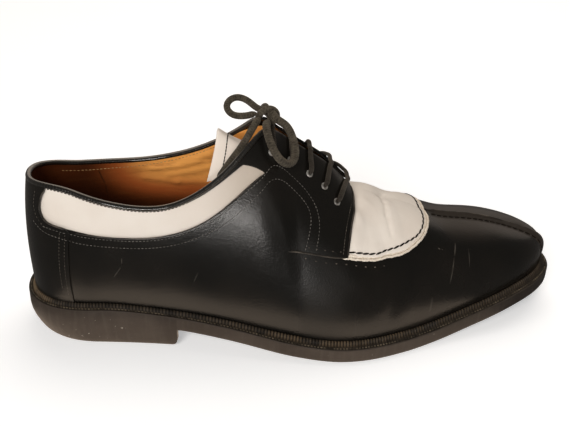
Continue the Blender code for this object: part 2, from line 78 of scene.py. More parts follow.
Outline = namedtuple("Outline", "x lateral medial")
OUTLINE = [Outline(*row) for row in (
    (0, 32.7, 34.7), (40, 33.6, 32.4), (75, 37.3, 29.0), (110, 45.1, 27.5), (145, 54.8, 34.5),
    (180, 58.3, 45.7), (205, 52.3, 49.3), (230, 43.8, 50.0), (255, 35.6, 48.6), (280, 27.5, 45.1),
    (305, 19.7, 40.3),
)]
Profile = namedtuple("Profile", "x z")
PROFILE = [Profile(*row) for row in (
    (0, 14.0), (40, 15.5), (75, 12.4), (110, 7.6), (145, 1.8), (170, 0.0), (205, 0.0), (220, 0.9),
    (250, 5.8), (280, 11.6), (305, 13.8),
)]
Section = namedtuple(
    "Section", "x inset spine_x spine_y reach_lat reach_med top_lat top_med flare rise out drop")
SECTIONS = [Section(*row) for row in (
    (0, 4.5, 40.0, 0.0, 33.5, 33.5, 90.0, 90.0, 1.5, 24, 4.0, 24),
    (10, 4.5, 42.0, 0.0, 32.0, 31.5, 91.5, 87.3, 2.0, 24, 4.0, 24),
    (28, 4.5, 46.0, -0.2, 28.0, 27.5, 89.5, 84.8, 2.5, 25, 4.0, 25),
    (50, 4.0, 55.0, -0.8, 27.5, 27.0, 84.0, 84.2, 3.0, 24, 4.5, 24),
    (75, 4.0, 75.0, -1.5, 28.0, 27.0, 82.3, 86.0, 3.0, 24, 6.0, 22),
    (96, 4.5, 92.0, -2.0, 26.0, 25.5, 90.0, 92.0, 3.0, 25, 8.0, 22),
    (112, 5.0, 105.0, -2.2, 23.0, 22.5, 101.0, 100.5, 3.0, 27, 10.0, 22),
    (126, 5.5, 116.5, -2.0, 18.0, 18.0, 112.0, 110.0, 3.0, 30, 14.0, 20),
    (138, 6.0, 127.0, -1.6, 11.0, 11.0, 116.5, 115.0, 3.0, 32, 18.0, 18),
    (148, 6.0, 136.5, -1.2, 5.0, 5.0, 111.5, 111.0, 3.0, 34, 20.0, 17),
    (162, 6.0, 150.0, -0.8, 4.5, 4.5, 101.5, 101.5, 3.0, 34, 22.0, 16),
    (178, 6.0, 164.0, -0.2, 4.5, 4.5, 91.0, 91.0, 3.0, 33, 23.0, 14),
    (192, 6.0, 176.0, 0.6, 4.0, 4.0, 79.0, 79.0, 3.0, 32, 25.0, 9),
    (200, 6.0, 184.0, 1.2, 0.0, 0.0, 74.0, 74.0, 3.0, 30, 27.0, 3),
    (214, 6.0, 198.0, 2.4, 0.0, 0.0, 68.0, 68.0, 3.0, 28, 28.0, 0),
    (228, 6.0, 213.0, 3.6, 0.0, 0.0, 62.2, 62.2, 3.0, 25, 29.0, 0),
    (243, 6.0, 229.0, 5.0, 0.0, 0.0, 55.0, 55.0, 3.0, 22, 30.0, 0),
    (258, 6.0, 244.0, 6.4, 0.0, 0.0, 51.8, 51.8, 3.0, 21, 30.0, 0),
    (272, 6.0, 258.0, 7.6, 0.0, 0.0, 49.2, 49.2, 3.0, 20, 28.0, 0),
    (285, 6.0, 270.0, 8.6, 0.0, 0.0, 46.0, 46.0, 3.0, 18, 25.0, 0),
    (296, 6.0, 280.0, 9.6, 0.0, 0.0, 43.0, 43.0, 2.5, 16, 20.0, 0),
    (305, 6.0, 287.0, 10.2, 0.0, 0.0, 40.8, 40.8, 2.0, 14, 13.0, 0),
)]
Roll = namedtuple("Roll", "back lift narrow slant keep")
TONGUE_ROLL = [Roll(*row) for row in (
    (6.0, 1.8, 0.86, 0.12, 0.43), (13.0, 2.8, 0.77, 0.25, 0.52), (20.0, 2.2, 0.71, 0.38, 0.71),
    (27.0, 0.2, 0.67, 0.50, 1.0),
)]
Sink = namedtuple("Sink", "x keep")
TONGUE_SINK = (Sink(144, 0.48), Sink(149, 0.60), Sink(154, 0.76), Sink(160, 0.90), Sink(168, 1.0))
Eyelet = namedtuple("Eyelet", "x height bar_x sag")
EYELETS = [Eyelet(*row) for row in (
    (138, 0.86, 141, 1.0), (150, 0.845, 153, 0.3), (160, 0.83, 164, 0.2), (168, 0.80, 177, 0.2),
    (174, 0.74, 189, 0.2),
)]

# Lace routes of the bow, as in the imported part
LOOP_LATERAL = (
    (131.0, -10.4, 120.4), (129.2, -15.5, 119.6), (129.6, -20.5, 116.6), (131.6, -25.0, 111.6),
    (135.2, -27.2, 106.2), (139.6, -26.0, 103.2), (143.0, -22.6, 104.0), (143.8, -18.8, 108.6),
    (142.4, -14.6, 114.0), (139.4, -11.8, 118.4), (135.4, -9.6, 120.8),
)
LOOP_MEDIAL = (
    (126.0, 0.2, 120.6), (122.4, -0.6, 119.8), (117.4, 0.0, 119.0), (112.8, 2.4, 119.4),
    (110.6, 5.4, 121.8), (112.0, 8.6, 124.2), (116.2, 10.4, 125.4), (120.4, 9.6, 124.6),
    (123.6, 7.4, 123.0), (126.4, 5.2, 121.4),
)
END_LATERAL = (
    (126.8, -6.4, 120.6), (124.0, -10.4, 118.6), (120.4, -14.6, 114.4), (116.2, -17.2, 108.6),
    (111.4, -18.6, 102.4), (107.6, -19.6, 97.2), (104.2, -20.0, 92.0),
)
END_MEDIAL_LIE = ((135, 1.0, 4.6), (131, 0.93, 1.2), (130, 0.85, 0.5), (131, 0.77, 0.4), (132, 0.69, 0.4),
                  (133, 0.61, 0.4))
END_MEDIAL_START = (131.0, 5.6, 120.8)


# Curves through points and the surface of the last


def through(x, y):
    """Natural cubic through points, read at arrays of x."""
    x = np.asarray(x, float)
    y = np.asarray(y, float)
    tall = y.reshape(len(x), -1)
    span = np.diff(x)
    matrix = np.eye(len(x))
    right = np.zeros_like(tall)
    for i in range(1, len(x) - 1):
        matrix[i, i - 1:i + 2] = span[i - 1], 2 * (span[i - 1] + span[i]), span[i]
        right[i] = 6 * ((tall[i + 1] - tall[i]) / span[i] - (tall[i] - tall[i - 1]) / span[i - 1])
    bend = np.linalg.solve(matrix, right)

    def value(at):
        at = np.clip(np.asarray(at, float), x[0], x[-1])
        i = np.clip(np.searchsorted(x, at) - 1, 0, len(span) - 1)
        h = span[i][..., None]
        before = (x[i + 1] - at)[..., None]
        after = (at - x[i])[..., None]
        curve = (bend[i] * before ** 3 + bend[i + 1] * after ** 3) / (6 * h)
        curve = curve + (tall[i] / h - bend[i] * h / 6) * before
        curve = curve + (tall[i + 1] / h - bend[i + 1] * h / 6) * after
        return curve if y.ndim > 1 else curve[..., 0]

    return value


def level(x, y):
    """Cubic through points that never overshoots."""
    x = np.asarray(x, float)
    y = np.asarray(y, float)
    span = np.diff(x)
    slope = np.diff(y) / span
    lean = np.concatenate([slope[:1], np.zeros(len(x) - 2), slope[-1:]])
    for i in range(1, len(x) - 1):
        if slope[i - 1] * slope[i] > 0:
            near = 2 * span[i] + span[i - 1]
            far = span[i] + 2 * span[i - 1]
            lean[i] = (near + far) / (near / slope[i - 1] + far / slope[i])

    def value(at):
        at = np.clip(np.asarray(at, float), x[0], x[-1])
        i = np.clip(np.searchsorted(x, at) - 1, 0, len(span) - 1)
        t = (at - x[i]) / span[i]
        start = (1 + 2 * t) * (1 - t) ** 2 * y[i] + t * (1 - t) ** 2 * span[i] * lean[i]
        return start + t * t * (3 - 2 * t) * y[i + 1] + t * t * (t - 1) * span[i] * lean[i + 1]

    return value


def read(table, column, curve=through):
    return curve([row.x for row in table], [getattr(row, column) for row in table])


def with_z(flat, z):
    return np.concatenate([flat, z[..., None]], -1)


reach_of_sole = {LATERAL: read(OUTLINE, "lateral"), MEDIAL: read(OUTLINE, "medial")}
sole_bottom = read(PROFILE, "z", level)
section = {column: read(SECTIONS, column) for column in Section._fields[1:]}
section["reach_lat"] = read(SECTIONS, "reach_lat", level)
section["reach_med"] = read(SECTIONS, "reach_med", level)


def unit(vectors):
    return vectors / np.maximum(np.linalg.norm(vectors, axis=-1, keepdims=True), 1e-12)


def smoothstep(low, high, value):
    t = np.clip((value - low) / (high - low), 0, 1)
    return t * t * (3 - 2 * t)


def station_x(u):
    return LENGTH * (1 - np.cos(np.pi * np.asarray(u, float))) / 2


def station_u(x):
    return np.arccos(np.clip(1 - 2 * np.asarray(x, float) / LENGTH, -1, 1)) / np.pi


def outline(u, side):
    """Welt's edge on one side, as x and y."""
    x = station_x(u)
    heel = np.clip((HEEL_RUN - x) / HEEL_RUN, 0, 1)
    toe = np.clip((x - LENGTH + TOE_RUN) / TOE_RUN, 0, 1)
    left = np.clip(1 - heel ** HEEL_POWER, 0, 1) ** (1 / HEEL_POWER)
    left = left * np.clip(1 - toe ** TOE_POWER, 0, 1) ** (1 / TOE_POWER)
    lateral = reach_of_sole[LATERAL](x)
    medial = reach_of_sole[MEDIAL](x)
    return np.stack([x, (medial - lateral) / 2 + side * left * (medial + lateral) / 2], -1)


def inset_edge(u, side, inset):
    """Welt's edge moved inwards, square to itself."""
    u, side, inset = np.broadcast_arrays(np.clip(u, 0, 1), np.asarray(side, float), np.asarray(inset, float))
    step = 1e-4
    along = outline(np.minimum(u + step, 1), side) - outline(np.maximum(u - step, 0), side)
    inwards = unit(np.stack([along[..., 1], -along[..., 0]], -1)) * side[..., None]
    inwards = np.where((u <= 0)[..., None], (1.0, 0.0), inwards)
    inwards = np.where((u >= 1)[..., None], (-1.0, 0.0), inwards)
    return outline(u, side) + inwards * inset[..., None]


def middle_of_outline():
    u = np.arange(STATIONS + 1) / STATIONS
    return (outline(u, LATERAL)[:, 1].min() + outline(u, MEDIAL)[:, 1].max()) / 2


MIDDLE = np.array((LENGTH / 2, middle_of_outline(), 0.0))


def place(points):
    """Shoemaker's millimetres to metres in the frame."""
    return (np.asarray(points, float) - MIDDLE) * MM


def fold(u, v, side):
    """Carries a place past the ridge or past the tip of the toe on to the other side."""
    u, v, side = np.broadcast_arrays(np.asarray(u, float), np.asarray(v, float), np.asarray(side, float))
    over = v > 1
    past = u > 1
    v = np.where(over, 2 - v, v)
    u = np.where(past, 2 - u, u)
    return u, v, np.where(over ^ past, -side, side)


def skin(u, v, side, closed=False):
    """Outside of the upper; closed draws the two sides of the throat together higher up."""
    u, v, side = fold(u, v, side)
    x = station_x(u)
    foot = inset_edge(u, side, section["inset"](x))
    spine = np.stack([section["spine_x"](x), section["spine_y"](x)], -1)
    outward = unit(foot - spine)
    lateral = side < 0
    reach = np.where(lateral, section["reach_lat"](x), section["reach_med"](x)).clip(0)
    if closed:
        reach = reach * (1 - smoothstep(0.5, 0.85, v))
    top = np.where(lateral, section["top_lat"](x), section["top_med"](x))
    edge = with_z(spine + outward * reach[..., None], top)
    out = with_z(outward, np.zeros_like(top))
    feather = with_z(foot, sole_bottom(foot[..., 0]) + FEATHER)
    wall = feather + out * section["flare"](x)[..., None] + UP * section["rise"](x)[..., None]
    crown = edge + out * section["out"](x)[..., None] - UP * section["drop"](x)[..., None]
    v = v[..., None]
    w = 1 - v
    return feather * w ** 3 + wall * 3 * v * w * w + crown * 3 * v * v * w + edge * v ** 3


def slopes(u, v, side, closed=False):
    """How a place on the skin moves with u and with v."""
    step = 1e-3
    u, v, side = np.broadcast_arrays(np.asarray(u, float), np.asarray(v, float), np.asarray(side, float))
    u_low, u_high = np.maximum(u - step, 0), np.minimum(u + step, 1)
    v_low, v_high = v - step, np.minimum(v + step, 1)
    along = skin(u_high, v, side, closed) - skin(u_low, v, side, closed)
    up = skin(u, v_high, side, closed) - skin(u, v_low, side, closed)
    return along / (u_high - u_low)[..., None], up / (v_high - v_low)[..., None]


def normal(u, v, side, closed=False):
    u, v, side = fold(u, v, side)
    along, up = slopes(u, v, side, closed)
    return unit(np.cross(along, up)) * -side[..., None]


def lift(u, v, side, height, closed=False):
    """Point at a height above the skin."""
    height = np.asarray(height, float)[..., None]
    return skin(u, v, side, closed) + normal(u, v, side, closed) * height


def over_upper(x, v, side, height):
    return lift(station_u(x), v, side, height)


def make_skin_tree():
    """Fine mesh of the skin, to drop points on."""
    columns, rows = 360, 80
    u, v = np.meshgrid(np.linspace(0, 1, columns + 1), np.linspace(0, 1, rows + 1), indexing="ij")
    points = []
    faces = []
    for side in SIDES.values():
        base = len(points)
        points += skin(u.ravel(), v.ravel(), float(side)).tolist()
        for i in range(columns):
            for j in range(rows):
                first = base + i * (rows + 1) + j
                corners = (first, first + rows + 1, first + rows + 2, first + 1)
                faces.append(corners if side == LATERAL else corners[::-1])
    return BVHTree.FromPolygons(points, faces)


SKIN = make_skin_tree()


def dropped(points):
    """Nearest places on the skin, with the direction out of it at each."""
    found = [SKIN.find_nearest(Vector(point)) for point in points]
    return np.array([hit[0] for hit in found]), np.array([hit[1] for hit in found])


LONG_SEAM = 40


def beside(line, sideways):
    """Seam moved to the left of its own path by some millimetres, still on the skin."""
    left = np.cross(line.normal, line.ahead)
    points, out = dropped(line.points + left * sideways)
    if len(out) > LONG_SEAM:
        out = unit(out + np.roll(out, 1, axis=0) + np.roll(out, -1, axis=0))
    return Seam(line.u, line.v, line.side, points, unit(np.gradient(points, axis=0)), out)


# Material nodes


class Flow:
    """One socket in a material, so that sums on values are written as sums."""

    def __init__(self, tree, socket):
        self.tree = tree
        self.socket = socket

    def node(self, kind, settings=None, inputs=None, out=0):
        """Adds any node: its type, its settings, then the values or links of its sockets."""
        made = self.tree.nodes.new(kind)
        for name, value in (settings or {}).items():
            setattr(made, name, value)
        for name, value in (inputs or {}).items():
            if isinstance(value, Flow):
                self.tree.links.new(value.socket, made.inputs[name])
            else:
                made.inputs[name].default_value = value
        return Flow(self.tree, made.outputs[out])

    def maths(self, operation, *values):
        return self.node("ShaderNodeMath", {"operation": operation}, dict(enumerate(values)))

    def __add__(self, other):
        return self.maths("ADD", self, other)

    def __sub__(self, other):
        return self.maths("SUBTRACT", self, other)

    def __rsub__(self, other):
        return self.maths("SUBTRACT", other, self)

    def __mul__(self, other):
        return self.maths("MULTIPLY", self, other)

    def __truediv__(self, other):
        return self.maths("DIVIDE", self, other)

    __radd__ = __add__
    __rmul__ = __mul__

    def sine(self):
        return self.maths("SINE", self)

    def size(self):
        return self.maths("ABSOLUTE", self)

    def most(self, other):
        return self.maths("MAXIMUM", self, other)

    def between(self, low, high):
        """0 below low, 1 above high, eased in between."""
        return self.node("ShaderNodeMapRange", {"interpolation_type": "SMOOTHSTEP"},
                         {0: self, 1: low, 2: high})

    def blend(self, first, second):
        """Colour that goes from first to second as this value goes from 0 to 1."""
        first, second = (end if isinstance(end, Flow) else (*end, 1.0) for end in (first, second))
        return self.node("ShaderNodeMix", {"data_type": "RGBA"}, {0: self, 6: first, 7: second}, 2)

    def part(self, axis):
        return self.node("ShaderNodeSeparateXYZ", None, {0: self}, axis)

    def stretched(self, scale, turn=(0, 0, 0)):
        return self.node("ShaderNodeMapping", None, {0: self, 2: turn, 3: scale})

    def noise(self, scale, detail=3.0, rough=0.5):
        return self.node("ShaderNodeTexNoise", None,
                         {"Vector": self, "Scale": scale, "Detail": detail, "Roughness": rough})

    def cells(self, scale):
        return self.node("ShaderNodeTexVoronoi", {"feature": "SMOOTH_F1"},
                         {"Vector": self, "Scale": scale, "Smoothness": 0.4})

    def bump(self, strength, depth, under=None):
        """Normal of a surface raised by this value, depth metres high."""
        inputs = {"Strength": strength, "Distance": depth, "Height": self}
        if under is not None:
            inputs["Normal"] = under
        return self.node("ShaderNodeBump", None, inputs)


def new_finish(name, **constants):
    """Material with its shader's constant sockets set, and the places on the object and on its map."""
    material = bpy.data.materials.new(name)
    material.use_nodes = True
    tree = material.node_tree
    for socket, value in constants.items():
        value = (*value, 1.0) if isinstance(value, tuple) else value
        tree.nodes["Principled BSDF"].inputs[socket.replace("_", " ")].default_value = value
    places = tree.nodes.new("ShaderNodeTexCoord").outputs
    return material, Flow(tree, places["Object"]), Flow(tree, places["UV"])


def connect(material, **flows):
    """Links values to the shader's sockets."""
    shader = material.node_tree.nodes["Principled BSDF"]
    for socket, flow in flows.items():
        flow.tree.links.new(flow.socket, shader.inputs[socket.replace("_", " ")])
    return material


def stroke(spot, x1, q1, x2, q2, width):
    """1 along a straight mark on the skin's map, fading over its width in millimetres."""
    along = ((x2 - x1), (q2 - q1) * GIRTH)
    long = math.hypot(*along)
    dx = spot.part(0) * MAP_X - x1
    dq = (spot.part(1) - q1) * GIRTH
    forward = (dx * (along[0] / long) + dq * (along[1] / long)) / long
    across = (dx * (-along[1] / long) + dq * (along[0] / long)).size()
    ends = forward.between(-0.05, 0.25) * (1 - forward.between(0.7, 1.05))
    return ends * (1 - across.between(0.25 * width, width))


Mark = namedtuple("Mark", "x1 q1 x2 q2 width strength")
SCRATCHES = [Mark(*row) for row in (
    (243.3, -0.339, 238.4, -0.508, 0.5, 0.34), (238.8, -0.49, 233.6, -0.70, 0.45, 0.24),
    (249.6, -0.39, 246.5, -0.593, 0.45, 0.16), (231.2, -0.415, 231.9, -0.43, 0.45, 0.5),
    (233.0, -0.42, 233.5, -0.43, 0.4, 0.4), (53.9, -0.475, 53.7, -0.58, 0.4, 0.20),
    (53.8, -0.56, 49.2, -0.70, 0.4, 0.18), (92, -0.60, 88, -0.74, 0.5, 0.09),
    (222.5, -0.78, 221.0, -0.90, 0.8, 0.12),
)]


def black_calf():
    """Polished black calf, brownish where it has worn and on the toe top, where the brown is partly dust and
    partly a painted sheen, with a few light scratches.
    """
    material, spot, lie = new_finish("black_calf", Specular_IOR_Level=0.32, Coat_Roughness=0.16)
    patchy = spot.noise(22.0, 4.0)
    fine = spot.noise(900.0, 2.0)
    tone = patchy.between(0.35, 0.75).blend((0.0042, 0.0040, 0.0034), (0.0085, 0.0070, 0.0055))
    # Toe top: brownish and duller, partly dust and partly a painted sheen
    toe_top_dust_and_sheen = lie.part(0).between(2.36, 2.46) * (1 - lie.part(1).size().between(0.10, 0.40))
    tone = (toe_top_dust_and_sheen * (0.45 + patchy * 0.6)).blend(tone, (0.030, 0.0235, 0.0185))
    flexed = lie.part(0).between(1.42, 1.50) * (1 - lie.part(0).between(1.60, 1.78))
    flexed = flexed * lie.part(1).size().between(0.48, 0.60)
    worn = reduce(Flow.most, [stroke(lie, *mark[:5]) * mark.strength for mark in SCRATCHES])
    dust = spot.noise(420.0, 4.0, 0.7).between(0.72, 0.82) * patchy.between(0.45, 0.7)
    worn = worn * spot.noise(160.0, 3.0).between(0.3, 0.55) + dust * 0.12
    tone = worn.blend(tone, (0.17, 0.15, 0.125))
    grain = spot.cells(1150.0) * 0.6 + fine * 0.4
    soft = spot.noise(55.0, 3.0).bump(0.35, 0.0006)
    rough = 0.20 + patchy * 0.12 + worn * 0.3 + toe_top_dust_and_sheen * 0.12 + flexed * 0.10
    return connect(material, Base_Color=tone, Roughness=rough, Coat_Weight=0.06 - worn * 0.06,
                   Normal=grain.bump(0.55, 0.00015, soft))


def white_calf(name, bright, shaded_front=False):
    """Warm white calf with a fine grain, a little soiled; the insert's copy gets painted shade towards its
    front end.
    """
    material, spot, lie = new_finish(name, Specular_IOR_Level=0.4)
    patchy = spot.noise(30.0, 4.0)
    soil = spot.stretched((1.0, 1.0, 0.35)).noise(190.0, 5.0, 0.65).between(0.55, 0.85)
    clean = [bright * part for part in (0.82, 0.765, 0.70)]
    cloudy = [bright * part for part in (0.76, 0.69, 0.62)]
    tone = patchy.between(0.3, 0.7).blend(clean, cloudy)
    if shaded_front:
        # Painted shade: darker and greyer towards the front end of the insert
        tone = (lie.part(0).between(0.90, 1.26) * 0.9).blend(tone, (0.42, 0.36, 0.30))
    tone = (soil * 0.35).blend(tone, (0.60, 0.52, 0.44))
    grain = spot.cells(1300.0) * 0.6 + spot.noise(700.0, 3.0) * 0.6
    soft = spot.noise(70.0, 4.0).bump(0.25, 0.0005)
    return connect(material, Base_Color=tone, Roughness=0.40 + patchy * 0.16,
                   Normal=grain.bump(0.12, 0.00012, soft))


def tan_lining(name="tan_lining", deep=(0.028, 0.008, 0.0034)):
    """Tan lining leather, darker low down and at the heel, partly dirt and partly painted shade, wrinkled
    high up towards the tongue, with painted shade in the troughs of its wrinkles.
    """
    material, spot, lie = new_finish(name, Specular_IOR_Level=0.35)
    high = spot.part(2).between(0.050, 0.084)
    front = spot.part(0).between(-0.120, -0.074)
    # clean is 1 high up at the front; lower down and towards the heel the lining darkens, partly as dirt and
    # partly as painted shade
    clean = high * (0.10 + 0.90 * front)
    patchy = spot.noise(48.0, 5.0, 0.6)
    streaks = spot.stretched((0.25, 0.25, 1.6)).noise(260.0, 3.0)
    wrinkles = spot.stretched((0.45, 1.0, 1.5), (0, 0.5, 0)).noise(115.0, 4.0, 0.55)
    worn = front * high
    seam = stroke(lie, 39.3, 0.07, 43.6, 0.237, 0.7).most(stroke(lie, 43.4, 0.225, 46.0, 0.50, 0.7))
    tone = clean.between(0.0, 0.5).blend(deep, (0.42, 0.105, 0.026))
    tone = clean.between(0.35, 0.95).blend(tone, (1.0, 0.46, 0.115))
    tone = (patchy.between(0.4, 0.8) * (0.04 + clean * 0.2)).blend(tone, (0.34, 0.105, 0.024))
    tone = (streaks.between(0.5, 0.8) * clean * 0.2).blend(tone, (0.80, 0.40, 0.11))
    # Painted shade: darker in the troughs of the wrinkles high up at the front
    tone = ((1 - wrinkles.between(0.36, 0.5)) * worn * 0.5).blend(tone, (0.30, 0.09, 0.022))
    tone = (seam * 0.8).blend(tone, (0.05, 0.016, 0.006))
    grain = spot.noise(900.0, 3.0) + spot.noise(120.0, 3.0) * 2.0 + wrinkles * worn * 9.0 - seam * 4.0
    return connect(material, Base_Color=tone, Roughness=0.42 + patchy * 0.2, Normal=grain.bump(0.45, 0.0003))


def sole_leather():
    """Stained sole edge with fine upright scuffs and pale flecks."""
    material, spot, _ = new_finish("sole_leather", Specular_IOR_Level=0.18)
    patchy = spot.noise(45.0, 5.0, 0.6)
    upright = spot.stretched((1.0, 1.0, 0.12)).noise(420.0, 3.0)
    flecks = spot.noise(650.0, 2.0).between(0.70, 0.78) * spot.noise(38.0, 2.0).between(0.52, 0.66)
    tone = patchy.between(0.3, 0.75).blend((0.028, 0.021, 0.0165), (0.050, 0.039, 0.031))
    tone = (spot.part(0).between(0.03, 0.12) * 0.6).blend(tone, (0.014, 0.011, 0.0085))
    tone = (upright.between(0.45, 0.75) * 0.22).blend(tone, (0.080, 0.065, 0.054))
    tone = (flecks * 0.7).blend(tone, (0.42, 0.38, 0.33))
    rough = spot.noise(500.0, 4.0) + upright * 0.35
    return connect(material, Base_Color=tone, Roughness=0.46 + patchy * 0.2, Normal=rough.bump(0.3, 0.0002))


def welt_leather():
    """Dark welt, wheeled all round, its teeth worn to tan at the back of the heel and at the ball."""
    material, spot, lie = new_finish("welt_leather", Specular_IOR_Level=0.4)
    across = lie.part(1)
    tooth = (lie.part(0) * math.pi).sine().size().between(0.35, 0.9)
    side = 1 - across.between(0.23, 0.30)
    bead = across.between(0.50, 0.60) * (1 - across.between(0.86, 0.94))
    heel = 1 - spot.part(0).between(-0.151, -0.130)
    front = spot.part(0).between(-0.07, 0.0) * (1 - spot.part(0).between(0.03, 0.11) * 0.7)
    patchy = spot.noise(110.0, 4.0, 0.65)
    worn = bead * (0.06 + heel * 0.55 + front * 0.2) * patchy.between(0.3, 0.62)
    tone = spot.noise(300.0, 3.0).between(0.3, 0.7).blend((0.014, 0.0115, 0.009),
                                                          (0.036, 0.029, 0.022))
    tone = side.blend(tone, (0.036, 0.028, 0.022))
    tone = worn.blend(tone, (0.27, 0.185, 0.105))
    tone = ((1 - tooth) * bead * 0.85).blend(tone, (0.005, 0.0045, 0.004))
    return connect(material, Base_Color=tone, Roughness=0.5 + patchy * 0.2,
                   Normal=spot.noise(900.0, 3.0).bump(0.3, 0.0002))


def worn_and_highlit_edge():
    """Black leather worn brown-grey along an edge, its lighter tone partly wear and partly a painted
    highlight.
    """
    material, spot, _ = new_finish("worn_and_highlit_edge", Specular_IOR_Level=0.45)
    patchy = spot.noise(90.0, 4.0, 0.6)
    tone = patchy.between(0.4, 0.75).blend((0.014, 0.012, 0.010), (0.11, 0.092, 0.075))
    return connect(material, Base_Color=tone, Roughness=0.30 + patchy * 0.15)


def binding_calf():
    """Black binding drawn into fine ribs by its stitches, the ribs painted a little lighter on their crests
    as painted shading, with a painted highlight along its top.
    """
    material, spot, lie = new_finish("binding_calf", Specular_IOR_Level=0.45, Coat_Weight=0.7,
                                     Coat_Roughness=0.08)
    along = lie.part(0) * MAP_X
    patchy = spot.noise(60.0, 3.0)
    # Painted highlight: a light band along the top of the roll
    painted_top_highlight = (1 - (lie.part(1) - 0.74).size().between(0.045, 0.095)) * (0.5 + 0.7 * patchy)
    rib = (along * (2 * math.pi / 1.5) + patchy * 4.0).sine()
    # Painted shading: the ribs are a little lighter on their crests
    tone = rib.between(-0.6, 1.0).blend((0.0045, 0.0042, 0.0036), (0.012, 0.0105, 0.0085))
    tone = painted_top_highlight.blend(tone, (0.20, 0.178, 0.152))
    return connect(material, Base_Color=tone, Roughness=0.22 + patchy * 0.12, Normal=rib.bump(0.2, 0.0003))


def thread(name, low, high, rough=0.55, shine=0.3):
    """Twisted sewing thread between two shades."""
    material, spot, _ = new_finish(name, Specular_IOR_Level=shine)
    patchy = spot.noise(260.0, 3.0)
    return connect(material, Base_Color=patchy.between(0.3, 0.7).blend(low, high),
                   Roughness=rough + patchy * 0.2, Normal=spot.noise(3200.0, 2.0).bump(0.3, 0.0001))


def cut_edge():
    """Pale raw edge of the plug, with fibres."""
    material, spot, _ = new_finish("cut_edge", Specular_IOR_Level=0.25)
    fibres = spot.noise(850.0, 4.0, 0.7)
    tone = fibres.between(0.3, 0.75).blend((0.80, 0.735, 0.645), (0.58, 0.49, 0.39))
    return connect(material, Base_Color=tone, Roughness=0.6 + fibres * 0.2, Normal=fibres.bump(0.5, 0.0004))


def eyelet_steel():
    material, spot, _ = new_finish("eyelet_steel", Metallic=0.7)
    dull = spot.noise(500.0, 3.0)
    tone = dull.between(0.4, 0.7).blend((0.62, 0.60, 0.57), (0.26, 0.24, 0.22))
    return connect(material, Base_Color=tone, Roughness=0.20 + dull * 0.2)


def waxed_lace(name="waxed_lace", low=(0.005, 0.0042, 0.0034), high=(0.092, 0.078, 0.058)):
    """Round braided cotton lace, dark brown, a little fuzzy."""
    material, spot, lie = new_finish(name, Specular_IOR_Level=0.2, Sheen_Weight=0.15,
                                     Sheen_Roughness=0.5, Sheen_Tint=(0.75, 0.64, 0.52))
    along = lie.part(0) * MAP_X
    around = lie.part(1) * (2 * math.pi)
    left = (along * 4.6 + around * 3.0).sine()
    right = (along * 4.6 - around * 3.0).sine()
    braid = left.most(right)
    fuzz = spot.noise(1500.0, 3.0, 0.7)
    patchy = spot.noise(330.0, 4.0, 0.65)
    shade = braid.between(0.1, 1.0) * 0.3 + patchy.between(0.32, 0.68) * 0.5 + fuzz.between(0.3, 0.7) * 0.3
    return connect(material, Base_Color=shade.blend(low, high), Roughness=0.62 + fuzz * 0.2,
                   Normal=(braid * 0.35 + fuzz * 1.2 + patchy).bump(0.8, 0.0003))


# Building pieces


def link(name, data):
    """New object in the scene."""
    made = bpy.data.objects.new(name, data)
    bpy.context.scene.collection.objects.link(made)
    return made


@contextmanager
def opened(mesh):
    """The mesh open for mesh operators, written back at the end."""
    bm = bmesh.new()
    bm.from_mesh(mesh)
    yield bm
    bm.to_mesh(mesh)
    bm.free()


def add_mesh(name, mesh, material, crease=40.0):
    mesh.shade_smooth()
    mesh.set_sharp_from_angle(angle=math.radians(crease))
    mesh.materials.append(material)
    piece = link(name, mesh)
    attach(piece, "root")
    return piece


def grid_mesh(name, columns, rows, lay, weld=False, flip=False):
    """Grid of columns by rows, with its points and map laid out by lay(a, b)."""
    mesh = bpy.data.meshes.new(name)
    with opened(mesh) as bm:
        bmesh.ops.create_grid(bm, x_segments=columns, y_segments=rows, size=1.0)
    flat = np.empty(len(mesh.vertices) * 3)
    mesh.vertices.foreach_get("co", flat)
    a = np.clip(flat[0::3] / 2 + 0.5, 0, 1)
    b = np.clip(flat[1::3] / 2 + 0.5, 0, 1)
    points, spots = lay(a, b)
    mesh.vertices.foreach_set("co", place(points).ravel())
    corners = np.empty(len(mesh.loops), np.int32)
    mesh.loops.foreach_get("vertex_index", corners)
    layer = mesh.uv_layers.new(name="UVMap")
    layer.uv.foreach_set("vector", np.asarray(spots, np.float32)[corners].ravel())
    if weld or flip:
        with opened(mesh) as bm:
            if weld:
                bmesh.ops.remove_doubles(bm, verts=bm.verts, dist=2e-6)
            if flip:
                bmesh.ops.reverse_faces(bm, faces=bm.faces)
    mesh.update()
    return mesh


def give_wall(piece, wall, edge=0.0, even=True):
    """Thickness inwards from the modelled face, with eased edges."""
    thick = piece.modifiers.new("wall", "SOLIDIFY")
    thick.thickness = wall * MM
    thick.offset = -1
    thick.use_even_offset = even
    thick.use_quality_normals = True
    if edge:
        ease = piece.modifiers.new("edge", "BEVEL")
        ease.width = edge * MM
        ease.segments = 2
        ease.limit_method = "ANGLE"
        ease.angle_limit = math.radians(50)
    return piece


def panel(name, size, lay, material, wall, edge=0.0, weld=False, flip=False, even=True):
    """Sheet on a grid of columns and rows, with a wall."""
    mesh = grid_mesh(name, *size, lay, weld, flip)
    return give_wall(add_mesh(name, mesh, material), wall, edge, even)


Rib = namedtuple("Rib", "x1 v1 x2 v2")


